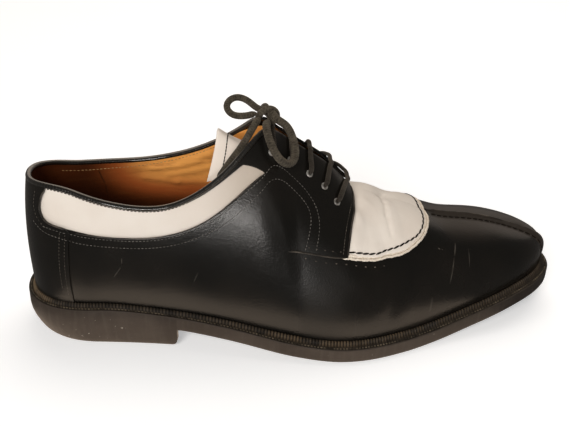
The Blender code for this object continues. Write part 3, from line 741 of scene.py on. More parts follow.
def rib_places(ribs, a, b):
    """Places on a panel ruled by ribs: a picks the rib, b runs along it."""
    ends = np.array([(station_u(r.x1), r.v1, station_u(r.x2), r.v2) for r in ribs])
    low = skin(ends[:, 0], ends[:, 1], LATERAL)
    high = skin(ends[:, 2], ends[:, 3], LATERAL)
    step = np.linalg.norm(np.diff((low + high) / 2, axis=0), axis=1) + 0.2
    at = np.concatenate([[0], np.cumsum(step)])
    u1, v1, u2, v2 = (level(at / at[-1], column)(a) for column in ends.T)
    u = u1 + (u2 - u1) * b
    v = v1 + (v2 - v1) * b
    return np.clip(u, 0, 1), np.clip(v, -0.03, 1)


def skin_map(u, v, side):
    return np.stack([station_x(u) / MAP_X, side * (1 - v)], -1)


def rib_lay(ribs, height, side):
    """Layout of a panel on one side of the upper."""
    def lay(a, b):
        u, v = rib_places(ribs, a if side == LATERAL else 1 - a, b)
        sides = np.full_like(u, side)
        return lift(u, v, sides, height(station_x(u), v, sides)), skin_map(u, v, sides)
    return lay


def both_sides_lay(ribs, height, closed=False):
    """Layout of a panel that runs up one side, round the toe and back along the other."""
    def lay(a, b):
        sides = np.where(a <= 0.5, LATERAL, MEDIAL).astype(float)
        u, v = rib_places(ribs, 1 - np.abs(2 * a - 1), b)
        points = lift(u, v, sides, height(station_x(u), v, sides), closed)
        return points, skin_map(u, v, sides)
    return lay


def round_ends(count):
    """Scale of a tube's section that closes it at both ends."""
    scale = np.ones(count)
    for i, size in enumerate((0.0, 0.62, 0.88)):
        scale[i] = size
        scale[-1 - i] = size
    return scale


def sweep(name, path, up_axis, half_up, half_side, material, slot, sides=12):
    """Tube along a path with round ends: oval section, its one half-width along up_axis."""
    path = np.asarray(path, float)
    last = len(path) - 1
    ahead = unit(np.gradient(path, axis=0))
    up = np.broadcast_to(np.asarray(up_axis, float), path.shape)
    up = unit(up - ahead * np.sum(up * ahead, axis=1, keepdims=True))
    aside = np.cross(up, ahead)
    scale = round_ends(len(path))
    travel = chord(path)

    def lay(a, b):
        i = np.rint(a * last).astype(int)
        angle = 2 * np.pi * b
        ring = up[i] * (half_up * np.cos(angle) * scale[i])[:, None]
        ring = ring + aside[i] * (half_side * np.sin(angle) * scale[i])[:, None]
        return path[i] + ring, np.stack([travel[i] / MAP_X, b], -1)

    mesh = grid_mesh(name, last, sides, lay, weld=True)
    return add_mesh(name, mesh, material, crease=60.0)


def chord(points):
    points = np.asarray(points, float)
    return np.concatenate([[0], np.cumsum(np.linalg.norm(np.diff(points, axis=0), axis=1))])


def read_rows(at, run, rows):
    """Rows known along a run, read at other places along it."""
    return np.stack([np.interp(at, run, column) for column in rows.T], -1)


def smooth_route(points, step):
    """Evenly spaced points on a smooth curve through a route."""
    points = np.asarray(points, float)
    at = chord(points)
    fine = through(at, points)(np.linspace(0, at[-1], 400))
    run = chord(fine)
    count = max(int(round(run[-1] / step)), 4)
    return read_rows(np.linspace(0, run[-1], count + 1), run, fine)


Seam = namedtuple("Seam", "u v side points ahead normal")


def seam_on_skin(places, height, pitch, closed=False):
    """Evenly spaced spots along a line of (x, q) places, q being side * (1 - v)."""
    places = np.array([(station_u(x), q) for x, q in places])
    rough = skin(places[:, 0], 1 - np.abs(places[:, 1]), np.copysign(1, places[:, 1]), closed)
    at = chord(rough)
    fine = through(at, places)(np.linspace(0, at[-1], 500))
    sides = np.copysign(1, fine[:, 1])
    run = chord(skin(fine[:, 0], 1 - np.abs(fine[:, 1]), sides, closed))
    count = max(int(run[-1] / pitch), 2)
    u, q = read_rows(np.linspace(0, run[-1], count + 1), run, fine).T
    u = np.clip(u, 0, 1)
    sides = np.copysign(1, q)
    v = np.clip(1 - np.abs(q), 0, 1)
    rise = height(station_x(u), v, sides) if callable(height) else height
    points = lift(u, v, sides, np.broadcast_to(rise, u.shape), closed)
    return Seam(u, v, sides, points, unit(np.gradient(points, axis=0)), normal(u, v, sides, closed))


def on_side(places, side):
    """(x, v) places of one side as (x, q) places."""
    return [(x, side * (1 - v)) for x, v in places]


def scatter(name, rows, material):
    """Small rounded stitches, one for each row: centre, ahead, up, and half its length, width and height."""
    bm = bmesh.new()
    bmesh.ops.create_uvsphere(bm, u_segments=6, v_segments=5, radius=1.0)
    bmesh.ops.rotate(bm, cent=(0, 0, 0), matrix=Matrix.Rotation(math.pi / 2, 3, "Y"), verts=bm.verts)
    shape = np.array([tuple(vert.co) for vert in bm.verts])
    bm.verts.index_update()
    faces = [[vert.index for vert in face.verts] for face in bm.faces]
    bm.free()
    points = []
    corners = []
    for centre, ahead, up, half_long, half_wide, half_high in rows:
        aside = np.cross(up, ahead)
        base = len(points) * len(shape)
        points.append(centre + shape[:, :1] * ahead * half_long + shape[:, 1:2] * aside * half_wide
                      + shape[:, 2:] * up * half_high)
        corners += [[base + i for i in face] for face in faces]
    mesh = bpy.data.meshes.new(name)
    mesh.from_pydata(place(np.concatenate(points)), [], corners)
    mesh.update()
    return add_mesh(name, mesh, material, crease=80.0)


Stitch = namedtuple("Stitch", "pitch long wide high")


def stitches(seam, size, lean=0.0):
    """Rows for scatter: one stitch on each spot of a seam."""
    rows = []
    for centre, ahead, up in zip(seam.points, seam.ahead, seam.normal):
        along = ahead * math.cos(lean) + np.cross(up, ahead) * math.sin(lean)
        rows.append((centre, along, up, size.long / 2, size.wide / 2, size.high / 2))
    return rows


def sewn_both(*lines):
    """Stitches of both sides along lines of (places, height, size)."""
    rows = []
    for side in SIDES.values():
        for places, height, size in lines:
            rows += stitches(seam_on_skin(on_side(places, side), height, size.pitch), size)
    return rows


# Creases: a soft trough or ridge from one place to another

Crease = namedtuple("Crease", "x1 q1 x2 q2 width depth")
CREASES = [Crease(*row) for row in (
    (213.0, 0.02, 214.0, 0.24, 5.0, -1.5), (214.0, 0.05, 210.2, -0.102, 1.5, -0.6),
    (210.2, -0.102, 206.4, -0.237, 1.0, -0.5), (206.4, -0.237, 204.6, -0.373, 0.9, -0.4),
    (211.6, -0.12, 206.8, -0.36, 1.1, 0.22), (213.5, -0.10, 208.5, -0.38, 2.6, 0.4),
    (197.0, -0.16, 187.5, -0.29, 4.0, 0.9), (187.5, -0.29, 179.5, -0.44, 3.6, 0.7),
    (197.0, -0.02, 191.0, -0.19, 3.2, -0.8), (206, 0.05, 192, 0.30, 4.5, 0.6),
    (203, -0.60, 199, -0.82, 4.0, -0.35), (211, -0.58, 208, -0.84, 4.0, 0.25),
    (196, -0.60, 191, -0.80, 4.0, 0.25), (203, 0.60, 199, 0.84, 4.0, -0.5),
    (212, 0.58, 208, 0.84, 4.0, 0.3),
)]


def folds(rows, x, v, side):
    """Height of a set of troughs and ridges at places on the skin."""
    q = side * (1 - v)
    total = np.zeros_like(x)
    for row in rows:
        dx, dq = row.x2 - row.x1, (row.q2 - row.q1) * GIRTH
        px, pq = x - row.x1, (q - row.q1) * GIRTH
        t = np.clip((px * dx + pq * dq) / (dx * dx + dq * dq), 0, 1)
        away = (px - t * dx) ** 2 + (pq - t * dq) ** 2
        total += row.depth * np.exp(-away / row.width ** 2)
    return total


def creases(x, v, side):
    return folds(CREASES, x, v, side)


# Upper panels

WALL_LEATHER, FACING_LEATHER, COUNTER_LEATHER, INSERT_LEATHER, PLUG_LEATHER = 1.2, 1.6, 1.3, 0.5, 1.3
SEAM_LEATHER, LINING_LEATHER, TONGUE_LEATHER, SOCK_LEATHER, EYELET_SHEET = 0.8, 0.6, 1.3, 2.2, 0.25
COUNTER_PROUD, INSERT_SUNK, LINING_SUNK = 0.7, -0.9, -1.35
PIERCED = 1.3
FACING_PROUD, FACING_DIP, FACING_TUCK, FRONT_SWELL = 1.15, 0.25, 0.7, 2.3
TAB_FOOT_X, TAB_FOOT_V, TAB_SLOPE = 173.7, 0.458, 32.7
PLUG_LOW, PLUG_PROUD = 0.4, 0.55
INSERT_STATIONS = (6.5, 12, 20, 30, 45, 60, 78, 96, 110, 122, 136)
INSERT_FOOT, INSERT_TOP = 0.63, 0.988
WALL_RIBS = [Rib(low, -0.01, high, v) for low, high, v in (
    (24, 24, 0.690), (44, 44, 0.708), (60, 60, 0.735), (77, 77, 0.757), (95, 95, 0.768),
    (110, 110, 0.785), (122, 122, 0.787), (132, 132, 0.78), (142, 143, 0.70), (153, 155, 0.60),
    (166, 168, 0.53), (178, 178, 0.50), (190, 190, 0.50), (200, 200, 0.515), (210, 210, 0.56),
    (219, 219, 0.64), (226, 226, 0.76), (231, 231, 0.90), (236, 236, 1.0), (246, 246, 1.0),
    (258, 258, 1.0), (272, 272, 1.0), (285, 285, 1.0), (295, 295, 1.0), (301.5, 301.5, 1.0),
    (305, 305, 1.0),
)]
FACING_RIBS = [Rib(low, v, high, 1.0) for low, v, high in (
    (88, 0.968, 88), (100, 0.962, 100), (110, 0.952, 110), (116, 0.940, 116), (119.4, 0.929, 119.5),
    (120, 0.926, 120.2), (120.5, 0.919, 120.9), (123, 0.888, 123.2), (126, 0.8505, 126),
    (129, 0.813, 128.6), (131.6, 0.7805, 130.6), (132, 0.774, 131), (132.2, 0.765, 131.3),
    (133.2, 0.70, 133), (134.8, 0.62, 135), (136.6, 0.54, 137), (138.4, 0.47, 139.5),
    (140.5, 0.435, 142.5), (143, 0.424, 146), (149, 0.428, 152), (156, 0.436, 162), (164, 0.446, 176),
    (169.5, 0.453, 185.0), (173.7, 0.458, 191.4),
)]
COUNTER_EDGE = ((26.5, -0.01), (26.2, 0.12), (26.0, 0.30), (26.2, 0.48), (26.8, 0.62), (27.0, 0.672),
                (25.5, 0.688), (20, 0.698), (15.5, 0.708), (12.6, 0.73), (10.8, 0.77), (10.1, 0.815),
                (10.4, 0.87), (11.8, 0.93), (13.4, 0.985))


def facing_height(x, v, side):
    """Tab and facing stand proud in front and run into the quarter behind."""
    rear = FACING_DIP * (1 - smoothstep(132, 146, x))
    rear = rear + FACING_TUCK * (1 - smoothstep(131, 141, x)) * (1 - smoothstep(0.58, 0.69, v))
    return FACING_PROUD * smoothstep(137, 171, x) - rear + creases(x, v, side)


def flat_height(value):
    return lambda x, v, side: np.full_like(x, value)


def lowered(height, depth):
    return lambda x, v, side: height(x, v, side) - depth


def tab_front(v):
    """Section x of the tab's front edge at a height."""
    x = TAB_FOOT_X + (v - TAB_FOOT_V) * TAB_SLOPE
    return x + front_bow(x, v)


def front_bow(x, v):
    """How far the facing's front swells forward of a straight rib."""
    return FRONT_SWELL * smoothstep(160, 186, x) * np.sin(np.pi * np.clip((v - 0.6) / 0.4, 0, 1))


def plug_height(x, v, side):
    """Plug stands proud of the walls and a little lower beside the tabs."""
    return PLUG_LOW + PLUG_PROUD * smoothstep(0.0, 8.0, x - tab_front(v)) + creases(x, v, side)


def make_walls(black):
    lay = both_sides_lay(WALL_RIBS, creases)
    piece = panel("walls", (420, 60), lay, black, WALL_LEATHER, 0.25, weld=True)
    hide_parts("upper")


def make_facing(name, side, black):
    def lay(a, b):
        u, v = rib_places(FACING_RIBS, a if side == LATERAL else 1 - a, b)
        x = station_x(u)
        x = x + front_bow(x, v)
        u = station_u(x)
        sides = np.full_like(u, side)
        return lift(u, v, sides, facing_height(x, v, sides)), skin_map(u, v, sides)

    mesh = grid_mesh("facing_" + name, 180, 66, lay)
    pierce(mesh, [eyelet_spot(eyelet, side)[0] for eyelet in EYELETS])
    give_wall(add_mesh("facing_" + name, mesh, black), FACING_LEATHER, even=False)


def pierce(mesh, centres):
    """Opens the sheet under each eyelet's flange."""
    holes = [Vector(place(centre)) for centre in centres]
    with opened(mesh) as bm:
        gone = []
        for face in bm.faces:
            middle = face.calc_center_median()
            if min((middle - hole).length for hole in holes) < PIERCED * MM:
                gone.append(face)
        bmesh.ops.delete(bm, geom=gone, context="FACES")


def make_counter(black):
    edge = np.array([(station_u(x), v) for x, v in COUNTER_EDGE])
    at = chord(skin(edge[:, 0], edge[:, 1], LATERAL))

    def lay(a, b):
        row = through(at / at[-1], edge)(a)
        reach = row[:, 0] * (2 * b - 1)
        sides = np.where(reach < 0, LATERAL, MEDIAL).astype(float)
        u = np.abs(reach)
        v = np.clip(row[:, 1], -0.02, 1)
        return lift(u, v, sides, np.full_like(u, COUNTER_PROUD)), skin_map(u, v, sides)

    panel("counter", (90, 70), lay, black, COUNTER_LEATHER, 0.3)


def make_insert(name, side, white):
    ribs = [Rib(x, INSERT_FOOT, x, INSERT_TOP) for x in INSERT_STATIONS]
    lay = rib_lay(ribs, flat_height(INSERT_SUNK), side)
    panel("insert_" + name, (110, 26), lay, white, INSERT_LEATHER)


PLUG_SIDE = ((170, 0.53), (185, 0.513), (196, 0.497), (208, 0.472), (216.5, 0.41))
PLUG_FRONT = ((216.5, 0.41), (223.4, 0.325), (229.8, 0.195), (233.4, 0.10), (235.6, 0.0))
PLUG_REAR = ((170, 0.53), (173, 0.40), (178, 0.24), (183, 0.10), (187, 0.0))


def mirrored(half):
    """Lateral half of a line over the ridge, then its medial half."""
    return [(x, -q) for x, q in half] + [(x, q) for x, q in reversed(half[:-1])]


def make_plug(white):
    """Apron: four edges of the panel, filled in between."""
    def edge(places):
        line = np.array([(station_u(x), q) for x, q in places])
        at = chord(line * (200, 80))
        return through(at / at[-1], line)

    south = edge([(x, -q) for x, q in PLUG_SIDE])
    north = edge(PLUG_SIDE)
    west = edge(mirrored(PLUG_REAR))
    east = edge(mirrored(PLUG_FRONT))

    def lay(a, b):
        s, n = south(a), north(a)
        w, e = west(b), east(b)
        a, b = a[:, None], b[:, None]
        corners = ((1 - a) * (1 - b) * south(np.zeros(1)) + a * (1 - b) * south(np.ones(1))
                   + (1 - a) * b * north(np.zeros(1)) + a * b * north(np.ones(1)))
        spot = (1 - b) * s + b * n + (1 - a) * w + a * e - corners
        u, q = spot[:, 0], spot[:, 1]
        sides = np.copysign(1, q)
        v = 1 - np.abs(q)
        return lift(u, v, sides, plug_height(station_x(u), v, sides), True), skin_map(u, v, sides)

    panel("plug", (84, 90), lay, white, PLUG_LEATHER, 0.35)


PLUG_LIP = ((168, 0.545), (175.5, 0.54), (185.3, 0.527), (195, 0.512), (208, 0.488), (217.5, 0.424),
            (224.7, 0.339), (231.6, 0.203), (235.5, 0.10), (237.3, 0.03), (237.8, 0.0))


Rim = namedtuple("Rim", "label out half uneven")
RIMS = (Rim("plug_rim", 1.65, 1.0, 0.04), Rim("plug_lip", -0.05, 0.72, 0.13))
RIM_HIGH, RIM_SINK = 0.85, 0.5


def make_plug_rim(edge):
    """Raw lower edge that looks out from under the plug."""
    line = seam_on_skin(mirrored(PLUG_LIP), 0.0, 0.8)
    x = station_x(line.u)
    dip = smoothstep(-6.0, 4.0, x - tab_front(line.v))
    steps = np.arange(len(x))
    rough = np.sin(steps * 2.3) + 0.8 * np.sin(steps * 0.9)
    rise = RIM_SINK * dip - RIM_SINK + creases(x, line.v, line.side)
    left = np.cross(line.normal, line.ahead)
    for rim in RIMS:
        path = line.points + line.normal * rise[:, None] + left * (rim.out + rim.uneven * rough)[:, None]
        sweep(rim.label, path, line.normal, RIM_HIGH, rim.half, edge, "white_leather")


TOE_SEAM = ((238.9, 0.019), (246, 0.022), (258, 0.024), (270, 0.024), (280, 0.020), (289, 0.004),
            (296.5, -0.05), (301.2, -0.17), (303.4, -0.38), (304.2, -0.65), (304.5, -0.98))
TOE_SEAM_SHAPE = ((-2.4, -0.35), (-1.6, 0.2), (-0.8, 1.45), (0.0, 1.9), (0.8, 1.65), (1.9, 1.15),
                  (3.0, 0.65), (4.0, 0.15), (4.8, 0.2), (5.6, 0.12), (6.4, -0.3))
TOE_STITCH, TOE_FAR_STITCH = Stitch(3.9, 3.5, 1.3, 0.9), Stitch(3.9, 1.4, 0.45, 0.9)


def make_toe_seam(black, worn, dark_thread):
    """Raised seam down the toe: a crest that slopes to a row of heavy stitches on its lateral side."""
    line = seam_on_skin(TOE_SEAM, 0.0, 1.1)
    shape = np.array(TOE_SEAM_SHAPE)
    count = len(line.u)
    rise = 0.4 + 0.6 * smoothstep(0, 6, np.arange(count))
    rows = 27
    across = np.linspace(0, 1, rows + 1)
    reach = np.interp(across, np.linspace(0, 1, len(shape)), shape[:, 0])
    height = through(shape[:, 0], shape[:, 1])(reach)
    rings = []
    for sideways, lifted in zip(reach, height):
        moved = beside(line, -sideways)
        rings.append(moved.points + moved.normal * (lifted * rise)[:, None])
    rings = np.array(rings)

    def lay(a, b):
        i = np.rint(a * (count - 1)).astype(int)
        j = np.rint(b * rows).astype(int)
        return rings[j, i], np.stack([station_x(line.u[i]) / 100, reach[j] / 100], -1)

    bare = slice(2, -12)
    # Thin tube along the crest in the worn edge leather: a painted highlight line, partly a worn edge
    crest = rings[int(np.argmax(height))] - line.normal * 0.18
    sweep("toe_crest", crest[bare], line.normal[bare], 0.34, 0.5, worn, "black_leather", sides=8)
    panel("toe_seam", (count - 1, rows), lay, black, SEAM_LEATHER, flip=True)
    sewn = []
    spots = seam_on_skin(TOE_SEAM, 0.0, TOE_STITCH.pitch)
    for sideways, size, keep in ((-4.3, TOE_STITCH, slice(1, None)), (1.9, TOE_FAR_STITCH, slice(2, -3))):
        moved = beside(spots, sideways)
        raised = moved._replace(points=moved.points + moved.normal * 0.3)
        sewn += stitches(raised, size)[keep]
    scatter("toe_stitches", sewn, dark_thread)


TAB_LOW_EDGE = ((124, 0.468), (128, 0.450), (133, 0.433), (143, 0.424), (149, 0.427), (156, 0.436),
                (165, 0.447), (173.4, 0.459))
TAB_FRONT_EDGE = ((173.8, 0.460), (177.6, 0.576), (179.6, 0.627), (183.4, 0.712), (187.0, 0.797),
                  (190.2, 0.90), (191.2, 0.98))
FRAME_EDGE = ((29, 0.682), (44, 0.706), (60, 0.733), (77, 0.755), (95, 0.766), (110, 0.783), (122, 0.785),
              (131, 0.779))
FRAME_REAR = ((13.0, 0.965), (11.7, 0.93), (10.4, 0.87), (10.1, 0.815), (10.9, 0.77), (12.7, 0.73),
              (15.6, 0.708), (20, 0.697), (25.5, 0.687))
Edge = namedtuple("Edge", "label line height half")
EDGES = (
    Edge("tab_low", TAB_LOW_EDGE, lowered(facing_height, 0.30), 0.42),
    Edge("tab_front", TAB_FRONT_EDGE, lowered(facing_height, 0.2), 0.55),
    Edge("frame", FRAME_EDGE, lowered(creases, 0.22), 0.36),
    Edge("frame_rear", FRAME_REAR, flat_height(COUNTER_PROUD - 0.25), 0.36),
)


def make_edges(worn):
    """Edges that catch the light, in edge leather worn brown-grey and lit by a painted highlight: two on
    each tab and the frame round each insert.
    """
    for name, side in SIDES.items():
        for edge in EDGES:
            seam = seam_on_skin(on_side(edge.line, side), edge.height, 0.9)
            label = f"{edge.label}_edge_{name}"
            sweep(label, seam.points, seam.normal, edge.half, edge.half, worn, "black_leather", sides=8)


BINDING_END, BINDING_IN, BINDING_DOWN, BINDING_HALF = 143.0, 0.7, 0.55, (1.6, 1.45)


def make_binding(black):
    """Rolled binding along the top line, from one facing round the heel to the other."""
    start = station_u(BINDING_END)
    steps = np.linspace(-start, start, 260)
    sides = np.where(steps < 0, LATERAL, MEDIAL).astype(float)
    u = np.abs(steps)
    top = np.ones_like(u)
    out = normal(u, top, sides)
    up = slopes(u, top, sides)[1]
    path = lift(u, top, sides, np.full_like(u, -BINDING_IN)) - unit(up) * BINDING_DOWN
    path = smooth_route(path[::4], 1.6)
    out = read_rows(np.linspace(0, 1, len(path)), np.linspace(0, 1, len(u)), out)
    sweep("binding", path, out, *BINDING_HALF, black, "black_leather", sides=14)


WRINKLES = [Crease(*row) for row in (
    (66, 0.19, 84, 0.28, 2.0, 0.8), (84, 0.28, 104, 0.35, 2.0, 0.9), (70, 0.10, 96, 0.13, 1.8, 0.7),
    (78, 0.20, 104, 0.22, 1.6, 0.7), (88, 0.08, 110, 0.10, 1.8, 0.6),
)]
QUARTER_STATIONS = (0, 3, 9, 18, 30, 45, 60, 78, 96, 112, 126, 138, 148, 160, 172)
VAMP_STATIONS = (172, 175, 178, 181, 184, 187, 192, 200, 214, 228, 243, 258, 272, 285, 296, 302, 305)
LINING_TOP, LINING_DROP = 0.997, 0.09
VAMP_TOP, VAMP_CLIMB = 0.58, 0.027


def make_lining(tan):
    """Lining all over the inside, with the wrinkles that a foot leaves."""
    def height(x, v, side):
        return LINING_SUNK - folds(WRINKLES, x, v, side)

    ribs = [Rib(x, 0.0, x, LINING_TOP - LINING_DROP * smoothstep(112, 140, x)) for x in QUARTER_STATIONS]
    for name, side in SIDES.items():
        lay = rib_lay(ribs, height, side)
        panel("lining_" + name, (160, 56), lay, tan, LINING_LEATHER)
    front = [Rib(x, 0.0, x, min(VAMP_TOP + (x - VAMP_STATIONS[0]) * VAMP_CLIMB, 1.0)) for x in VAMP_STATIONS]
    lay = both_sides_lay(front, height, True)
    panel("lining_vamp", (150, 40), lay, tan, LINING_LEATHER, weld=True)


def sunk(row, keep):
    """Row across the tongue with its arch pressed down towards the line between its two edges."""
    made = row.copy()
    floor = np.linspace(row[0, 2], row[-1, 2], len(row))
    made[:, 2] = floor + (row[:, 2] - floor) * keep
    return made


def tongue_net():
    """Rows of points across the tongue, from its root to its rolled top."""
    under = -(UPPER_WALL + TONGUE_GAP)
    keep = read(TONGUE_SINK, "keep", level)
    heights = np.array(TONGUE_HEIGHTS)
    rows = []
    for x in np.linspace(TONGUE_ROOT, TONGUE_LEAVES, TONGUE_ROWS + 1):
        lateral, medial = (over_upper(np.full_like(heights, x), heights, side, np.full_like(heights, under))
                           for side in SIDES.values())
        crown = (lateral[-1] + medial[-1]) / 2
        crown = crown + UP * TONGUE_CROWN * np.linalg.norm(medial[-1] - lateral[-1]) / 2
        last = np.concatenate([lateral, [crown], medial[::-1]])
        rows.append(sunk(last, keep(x)))
    crown = last[len(last) // 2]
    lean = np.where(np.arange(len(last)) > len(last) // 2, 0.2, 1.0)
    for roll in TONGUE_ROLL:
        squeeze = np.array((1, roll.narrow, 1))
        row = crown + (last - crown) * squeeze + np.array((-roll.back, 0, roll.lift))
        row[:, 0] += roll.slant * lean * (last[:, 2] - crown[2])
        rows.append(sunk(row, roll.keep))
    return np.array(rows)


TONGUE_LINING_END, TONGUE_MARGIN = 0.955, 0.03
TONGUE_ROW, TONGUE_STITCHES = 0.945, 30
TONGUE_STITCH = Stitch(None, 1.9, 0.64, 0.6)


def make_tongue(white, tan, dark_thread):
    net = tongue_net()
    count = net.shape[1]
    along = through(np.linspace(0, 1, len(net)), net.reshape(len(net), -1))

    def surface(a, b):
        rows = along(a).reshape(len(a), count, 3)
        at = np.linspace(0, 1, count)
        return np.array([through(at, row)(np.array([spot]))[0] for row, spot in zip(rows, b)])

    def lay(a, b):
        return surface(a, b), np.stack([a, b], -1)

    piece = panel("tongue_leather", (56, 40), lay, white, TONGUE_LEATHER, 0.3, flip=True)
    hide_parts("tongue")

    def inner(a, b):
        a = a * TONGUE_LINING_END
        b = TONGUE_MARGIN + b * (1 - 2 * TONGUE_MARGIN)
        step = 1e-3
        across = surface(a, np.minimum(b + step, 1)) - surface(a, np.maximum(b - step, 0))
        forward = surface(np.minimum(a + step, 1), b) - surface(np.maximum(a - step, 0), b)
        down = unit(np.cross(forward, across))
        return surface(a, b) - down * LINING_SUNK, np.stack([a, b], -1)

    panel("tongue_lining", (40, 28), inner, tan, LINING_LEATHER, flip=True)
    edge_b = np.linspace(0.04, 0.96, TONGUE_STITCHES)
    edge_a = np.full(TONGUE_STITCHES, TONGUE_ROW)
    spots = surface(edge_a, edge_b)
    nearer = surface(edge_a - 0.01, edge_b)
    ahead = unit(np.gradient(spots, axis=0))
    up = unit(np.cross(ahead, spots - nearer))
    up = np.where(up[:, 2:] < 0, -up, up)
    row = Seam(None, None, None, spots + up * 0.1, ahead, up)
    scatter("tongue_stitches", stitches(row, TONGUE_STITCH), dark_thread)


# Stitch rows of the quarters, the counter and the plug

INNER_ROW = (
    (13, 0.675), (20, 0.664), (29, 0.662), (44, 0.685), (60, 0.711), (77, 0.733), (95, 0.745), (110, 0.76),
    (122, 0.768), (129, 0.768), (133.5, 0.782), (137.5, 0.792), (141.5, 0.785), (147.8, 0.762), (155, 0.725),
    (159.6, 0.66), (160.2, 0.605), (158.4, 0.525), (156, 0.46),
)
OUTER_ROW = (
    (7, 0.69), (13, 0.63), (20, 0.610), (29, 0.599), (44, 0.616), (60, 0.640), (77, 0.661), (95, 0.676),
    (110, 0.690), (122, 0.704), (129, 0.716), (134.5, 0.731), (139, 0.728), (147.5, 0.697), (153.8, 0.655),
    (155.6, 0.61), (154, 0.54), (150, 0.445),
)
INSERT_REAR_ROW = ((7.4, 0.93), (7.0, 0.87), (7.2, 0.80), (9.0, 0.735), (13, 0.675))
TAB_ROW = ((171.5, 0.478), (175.2, 0.585), (180.4, 0.70), (184.0, 0.775))
TAB_LOW_ROW = ((149.5, 0.405), (157, 0.408), (169.5, 0.425), (181.4, 0.432), (190, 0.44), (196, 0.445))
TAB_HIGH_ROW = ((152, 0.457), (161.5, 0.470), (170, 0.482))
COUNTER_ROW_NEAR = ((24.0, 0.10), (23.7, 0.30), (23.9, 0.48), (24.4, 0.64))
COUNTER_ROW_FAR = ((21.0, 0.16), (20.7, 0.30), (20.9, 0.48), (21.4, 0.645))
BINDING_ROW = ((141, 0.962), (126, 0.966), (110, 0.970), (95, 0.970), (77, 0.968), (60, 0.968), (44, 0.968),
               (28, 0.968), (14, 0.968))
PLUG_ROW = ((173, 0.512), (185.3, 0.494), (193, 0.482), (200.8, 0.467), (206.4, 0.447), (213.5, 0.407),
            (219.3, 0.363), (224.7, 0.29), (228.4, 0.21), (231.6, 0.115), (233.6, 0.04), (234.2, 0.0))


QUARTER_STITCH, COUNTER_STITCH = Stitch(1.85, 1.15, 0.36, 0.3), Stitch(1.9, 1.1, 0.3, 0.25)
TAB_STITCH, TAB_LOW_STITCH = Stitch(1.7, 1.35, 0.34, 0.3), Stitch(5.2, 1.1, 0.6, 0.4)
TAB_HIGH_STITCH, BINDING_STITCH = Stitch(3.6, 0.9, 0.5, 0.35), Stitch(1.9, 1.3, 0.5, 0.5)
PLUG_STITCH, LINING_STITCH = Stitch(3.9, 4.3, 1.1, 0.9), Stitch(2.1, 1.5, 0.4, 0.4)


def make_stitches(pale, dull, dark):
    rows = sewn_both(*((line, quarter_row_height, QUARTER_STITCH) for line in (INNER_ROW, OUTER_ROW)))
    scatter("quarter_stitches", rows, pale)
    counter_rows = (COUNTER_ROW_NEAR, COUNTER_ROW_FAR, INSERT_REAR_ROW)
    rows = sewn_both(*((line, COUNTER_PROUD + 0.02, COUNTER_STITCH) for line in counter_rows),
                     (TAB_ROW, facing_height, TAB_STITCH),
                     (TAB_LOW_ROW, 0.0, TAB_LOW_STITCH),
                     (TAB_HIGH_ROW, facing_height, TAB_HIGH_STITCH))
    scatter("dull_stitches", rows, dull)
    rows = sewn_both((BINDING_ROW, binding_row_height, BINDING_STITCH))
    plug_row = seam_on_skin(mirrored(PLUG_ROW), plug_height, PLUG_STITCH.pitch, True)
    rows += stitches(plug_row, PLUG_STITCH, lean=0.13)
    scatter("dark_stitches", rows, dark)


FACING_REAR = 118
LINING_ROW = ((16, 0.93), (41, 0.935), (68, 0.945), (91, 0.955), (108, 0.958))


def make_lining_row(cream):
    """Row that holds the lining to the binding, seen on the far inside."""
    rows = sewn_both((LINING_ROW, -2.0, LINING_STITCH))
    scatter("lining_stitches", rows, cream)


def quarter_row_height(x, v, side):
    """Top of the counter, of the wall or of the facing, whichever the row is sewn on."""
    front = np.maximum(facing_height(x, v, side), creases(x, v, side))
    return 0.02 + COUNTER_PROUD * (1 - smoothstep(25.0, 27.0, x)) + np.where(x > FACING_REAR, front, 0.0)


def binding_row_height(x, v, side):
    return np.where(x > FACING_REAR, facing_height(x, v, side) * 0.6, -0.85) + 0.1


# Sole, heel, welt and sock


def section_loop(u, profile, across):
    """Loop of points round one sole piece for each station: down one side, across, up the other."""
    def rows(side):
        edges = [inset_edge(u, side, inset(station_x(u))) for inset, _ in profile]
        return [with_z(edge, height(edge[:, 0])) for edge, (_, height) in zip(edges, profile)]

    near = rows(LATERAL)
    far = rows(MEDIAL)[::-1]
    steps = np.linspace(0, 1, across + 1)[1:-1]
    below = [near[-1] + (far[0] - near[-1]) * t for t in steps]
    above = [far[-1] + (near[0] - far[-1]) * t for t in steps]
    return np.array(near + below + far + above + near[:1])


def loop_piece(name, u, profile, leather, close_front=False):
    loops = section_loop(u, profile, 16)

    def lay(a, b):
        i = np.rint(a * (len(u) - 1)).astype(int)
        j = np.rint(b * (len(loops) - 1)).astype(int)
        return loops[j, i], np.stack([station_x(u[i]) / MAP_X, j / len(loops)], -1)

    mesh = grid_mesh(name, len(u) - 1, len(loops) - 1, lay, weld=True)
    with opened(mesh) as bm:
        if close_front:
            bmesh.ops.holes_fill(bm, edges=[edge for edge in bm.edges if edge.is_boundary], sides=0)
        bmesh.ops.recalc_face_normals(bm, faces=bm.faces)
    return add_mesh(name, mesh, leather, crease=35.0)


def same(value):
    return lambda x: np.full_like(np.asarray(x, float), value)


def above_sole(height):
    return lambda x: sole_bottom(x) + height


def make_sole(leather):
    def eased(size):
        return lambda x: size * smoothstep(HEEL_BREAST - 4, HEEL_BREAST + 4, x)

    profile = (
        (same(0.9), above_sole(WELT_TOP - 0.45)),
        (same(0.25), above_sole(WELT_TOP - 0.4)),
        (same(-0.05), above_sole(WELT_TOP - 0.8)),
        (same(-0.05), above_sole(2.6)),
        (eased(0.12), above_sole(1.0)),
        (eased(0.4), above_sole(0.35)),
        (eased(0.95), above_sole(0.0)),
    )
    piece = loop_piece("sole", np.linspace(0, 1, 181), profile, leather)
    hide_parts("outsole")


